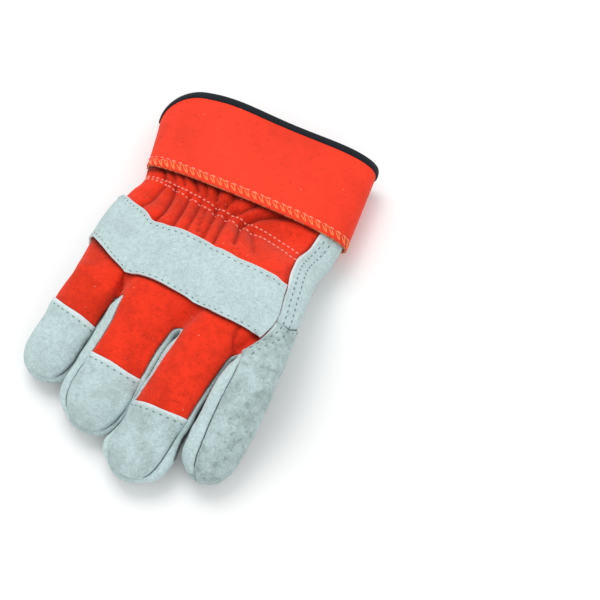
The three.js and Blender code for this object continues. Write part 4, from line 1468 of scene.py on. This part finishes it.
class GLOVE_OT_strap(bpy.types.Operator):
    """Builds the knuckle strap and its stitches"""

    bl_idname = "glove.strap"
    bl_label = "Build the knuckle strap"

    def execute(self, context):
        looks = leather_look(LITTLE_DIRT), raw_edge_look()
        strap = add_piece("knuckle_strap_look", strap_mesh(), ["knuckle_strap"], "leather", *looks)
        give_wall(strap, sizes().leather_wall)
        bm = bmesh.new()
        inset = STRAP_INSET / STRAP_WIDTH
        for share in (inset, 1 - inset):
            path = [strap_place(u, share) for u in steps(0.03, 0.985, 300)]
            sew(bm, path, EDGE_STITCH, sizes().stitch_pitch)
        add_stitches("strap_stitches", bm, "leather", "leather thread")
        return {"FINISHED"}


class GLOVE_OT_seams(bpy.types.Operator):
    """Sews the stitches along the leather's edges and the fingers' seams"""

    bl_idname = "glove.seams"
    bl_label = "Sew the leather"

    def execute(self, context):
        s, hide = sizes(), skin()
        lift = s.lap + 0.02 * MM
        flat = 0.06 * MM
        bm = bmesh.new()
        for distance in STRIP_INSETS:
            rows = steps(1.5, HAND_ROWS - 0.2, 160)
            places = [hide.beside("hand", SEAM_COLUMN, row, (1, 0), distance) for row in rows]
            raised = lap_rise(distance) + flat
            sew(bm, skin_path("hand", places, raised), STRIP_STITCH, s.stitch_pitch)
        columns = steps(SEAM_COLUMN + 0.6, PALM_START - 1, 60)
        places = [hide.beside("hand", column, CROSS_SEAM, (0, 1), CROSS_INSET) for column in columns]
        sew(bm, skin_path("hand", places, flat), EDGE_STITCH, s.stitch_pitch)
        add_stitches("side_strip_stitches", bm, "leather", "leather thread")

        bm = bmesh.new()
        for finger in FINGERS[:-1]:
            columns = steps(HALF_SIDE + 0.2, RIGHT_SEAM - 0.2, 80)
            places = [hide.beside(finger.name, column, CAP_ROW, (0, 1), TIP_INSET) for column in columns]
            sew(bm, skin_path(finger.name, places, lift), EDGE_STITCH, s.stitch_pitch)
        add_stitches("tip_stitches", bm, "leather", "leather thread")

        bm = bmesh.new()
        for i, finger in enumerate(FINGERS):
            sides = ([HALF_SIDE] if i else []) + ([RIGHT_SEAM] if i < len(FINGERS) - 1 else [])
            for column in sides:
                places = [(column, row) for row in steps(0, TIP_SEAM[0], 160)]
                sew(bm, skin_path(finger.name, places, 0.12 * MM), SEAM_STITCH, SEAM_PITCH, turn=40)
        add_stitches("seam_stitches", bm, "leather", "leather thread")
        return {"FINISHED"}


class GLOVE_OT_wrist(bpy.types.Operator):
    """Sews the two elastic rows that gather the wrist"""

    bl_idname = "glove.wrist"
    bl_label = "Sew the wrist's elastic rows"

    def execute(self, context):
        s, hide = sizes(), skin()
        bm = bmesh.new()
        for k in range(2):
            places = []
            for column in steps(0.6, SEAM_COLUMN - 0.3, 260):
                # The skin's row at which the elastic row lies is found by halving
                low, high = 0, WRIST_ROWS + 2
                for _ in range(HALVINGS):
                    row = (low + high) / 2
                    point = hide.at("hand", column, row, plain=True)[0] - origin()
                    wanted = shirring_at(point.x / s.palm_width, k)
                    low, high = (row, high) if -point.y / s.palm_length < wanted else (low, row)
                places.append((column, row))
            sew(bm, skin_path("hand", places, 0.1 * MM), ELASTIC_STITCH, s.shirring_pitch)
        add_stitches("wrist_stitches", bm, "cloth", "cloth thread")
        return {"FINISHED"}


class GLOVE_OT_cuff(bpy.types.Operator):
    """Builds the cuff and the overlock along its lower edge"""

    bl_idname = "glove.cuff"
    bl_label = "Build the cuff"

    def execute(self, context):
        s = sizes()
        top = 1 - s.binding_wall / s.cuff_length
        profile = [(along, -s.binding_wall) for along in steps(top, 0, 40)]
        mesh = tube_mesh("cuff", profile)
        cuff = add_piece("cuff_look", mesh, ["cuff"], "cuff_cloth", cuff_look(), cut_look())
        give_wall(cuff, s.cuff_wall)

        bm = bmesh.new()
        on = -s.binding_wall + 0.05 * MM
        band = OVERLOCK_BAND / s.cuff_length
        path = cuff_path(band * 0.5, on)
        for skipped, slant in ((0, -38), (3, -54)):
            sew(bm, path[skipped:], OVERLOCK, CUFF_PITCH, slant)
        sew(bm, cuff_path(band, on)[20:], OVERLOCK_EDGE, EDGE_PITCH)
        add_stitches("overlock_threads", bm, "cuff_cloth", "overlock thread")
        bm = bmesh.new()
        path = cuff_path(band * 1.08, on, rise=2.2 * MM / s.cuff_length)
        sew(bm, path, CUFF_STITCH, CUFF_PITCH)
        add_stitches("cuff_stitches", bm, "cuff_cloth", "cloth thread")
        return {"FINISHED"}


class GLOVE_OT_binding(bpy.types.Operator):
    """Builds the tape bound round the cuff's rim"""

    bl_idname = "glove.binding"
    bl_label = "Build the binding"

    def execute(self, context):
        s = sizes()
        half = s.binding_width / 2
        deep = s.binding_wall + s.cuff_wall / 2
        profile = []
        for angle in steps(0, 2 * math.pi, 24):
            along = half * (boxed(math.sin(angle), BINDING_ROUNDNESS) - 1)
            out = deep * (boxed(math.cos(angle), BINDING_ROUNDNESS) - 1)
            profile.append((1 + along / s.cuff_length, out))
        mesh = tube_mesh("binding", profile)
        add_piece("cuff_binding_look", mesh, ["cuff_binding"], "binding", binding_look())
        return {"FINISHED"}


class StageSettings(bpy.types.PropertyGroup):
    """The floor, the lights and the camera"""

    floor_size: length("Floor size", "Side of the square floor", 6)
    key: amount("Key light", "Of the large light from the upper left", 9.1, "POWER")
    fill: amount("Fill light", "Of the light from the front", 4.2, "POWER")
    world: amount("Sky", "Strength of the light from all round", 0.75)
    lens: amount("Lens", "Focal length", 80, "CAMERA")


# Where the camera and the lights stand, in metres, and how the camera is turned, in degrees
CAMERA_PLACE = (0.19835, -0.33832, 0.64997)
CAMERA_AZIMUTH, CAMERA_ELEVATION = 26.7, 56
CAMERA_PAN, CAMERA_TILT = -2.58, -2.92
LIT_PLACE = (0, 0, 0.02)
KEY_PLACE, KEY_SIZE = (-0.45, 0.4, 1.35), 0.9
FILL_PLACE, FILL_SIZE = (0.9, -0.7, 1.1), 1.2


def add_light(name, place, size, power):
    data = bpy.data.lights.new(name, "AREA")
    data.size = size
    data.energy = power
    light = bpy.data.objects.new(name, data)
    light.location = place
    light.rotation_euler = (Vector(LIT_PLACE) - Vector(place)).to_track_quat("-Z", "Y").to_euler()
    bpy.context.collection.objects.link(light)


class GLOVE_OT_stage(bpy.types.Operator):
    """Lays the floor and sets the lights and the camera"""

    bl_idname = "glove.stage"
    bl_label = "Set the stage"

    def execute(self, context):
        settings = context.scene.glove_stage
        bm = bmesh.new()
        bmesh.ops.create_grid(bm, x_segments=8, y_segments=8, size=settings.floor_size / 2)
        mesh = mesh_of("floor", bm)
        mesh.materials.append(floor_look())
        floor = bpy.data.objects.new("floor", mesh)
        context.collection.objects.link(floor)
        add_light("key", KEY_PLACE, KEY_SIZE, settings.key)
        add_light("fill", FILL_PLACE, FILL_SIZE, settings.fill)
        world = bpy.data.worlds.new("studio")
        world.use_nodes = True
        background = world.node_tree.nodes["Background"]
        background.inputs["Color"].default_value = (1, 1, 1, 1)
        background.inputs["Strength"].default_value = settings.world
        context.scene.world = world

        data = bpy.data.cameras.new("camera")
        data.lens = settings.lens
        data.sensor_width = 36
        data.clip_start = 0.01
        camera = bpy.data.objects.new("camera", data)
        camera.location = CAMERA_PLACE
        azimuth, elevation = math.radians(CAMERA_AZIMUTH), math.radians(CAMERA_ELEVATION)
        level = math.cos(elevation)
        back = Vector((math.sin(azimuth) * level, -math.cos(azimuth) * level, math.sin(elevation)))
        aim = (-back).to_track_quat("-Z", "Y").to_matrix()
        pan = Matrix.Rotation(math.radians(CAMERA_PAN), 3, "Y")
        tilt = Matrix.Rotation(math.radians(CAMERA_TILT), 3, "X")
        camera.rotation_euler = (aim @ pan @ tilt).to_euler()
        context.collection.objects.link(camera)
        context.scene.camera = camera
        context.scene.view_settings.view_transform = "Standard"
        return {"FINISHED"}


class GLOVE_PT_panel(bpy.types.Panel):
    """The glove's sizes and colours, and a button for each of its pieces"""

    bl_label = "Work glove"
    bl_idname = "GLOVE_PT_panel"
    bl_space_type = "VIEW_3D"
    bl_region_type = "UI"
    bl_category = "Glove"

    def draw(self, context):
        for name in GROUPS:
            group = getattr(context.scene, name)
            box = self.layout.box()
            box.label(text=name.removeprefix("glove_").title())
            for setting in type(group).__annotations__:
                box.prop(group, setting)
        for operator in OPERATORS:
            self.layout.operator(operator.bl_idname)


OPERATORS = (
    GLOVE_OT_cloth, GLOVE_OT_leather, GLOVE_OT_strap, GLOVE_OT_seams, GLOVE_OT_wrist, GLOVE_OT_cuff,
    GLOVE_OT_binding, GLOVE_OT_stage,
)
GROUPS = {"glove_sizes": GloveSizes, "glove_colours": GloveColours, "glove_stage": StageSettings}


def register():
    for kind in (*GROUPS.values(), *OPERATORS, GLOVE_PT_panel):
        bpy.utils.register_class(kind)
    for name, group in GROUPS.items():
        setattr(bpy.types.Scene, name, bpy.props.PointerProperty(type=group))


def unregister():
    for name in GROUPS:
        delattr(bpy.types.Scene, name)
    for kind in (GLOVE_PT_panel, *reversed(OPERATORS), *reversed(GROUPS.values())):
        bpy.utils.unregister_class(kind)


def main():
    register()
    bpy.ops.glove.cloth()
    bpy.ops.glove.leather()
    bpy.ops.glove.strap()
    bpy.ops.glove.seams()
    bpy.ops.glove.wrist()
    bpy.ops.glove.cuff()
    bpy.ops.glove.binding()
    bpy.ops.glove.stage()
    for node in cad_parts.values():
        node.data.materials.clear()
        node.data.materials.append(plain_look())


if __name__ == "__main__":
    main()
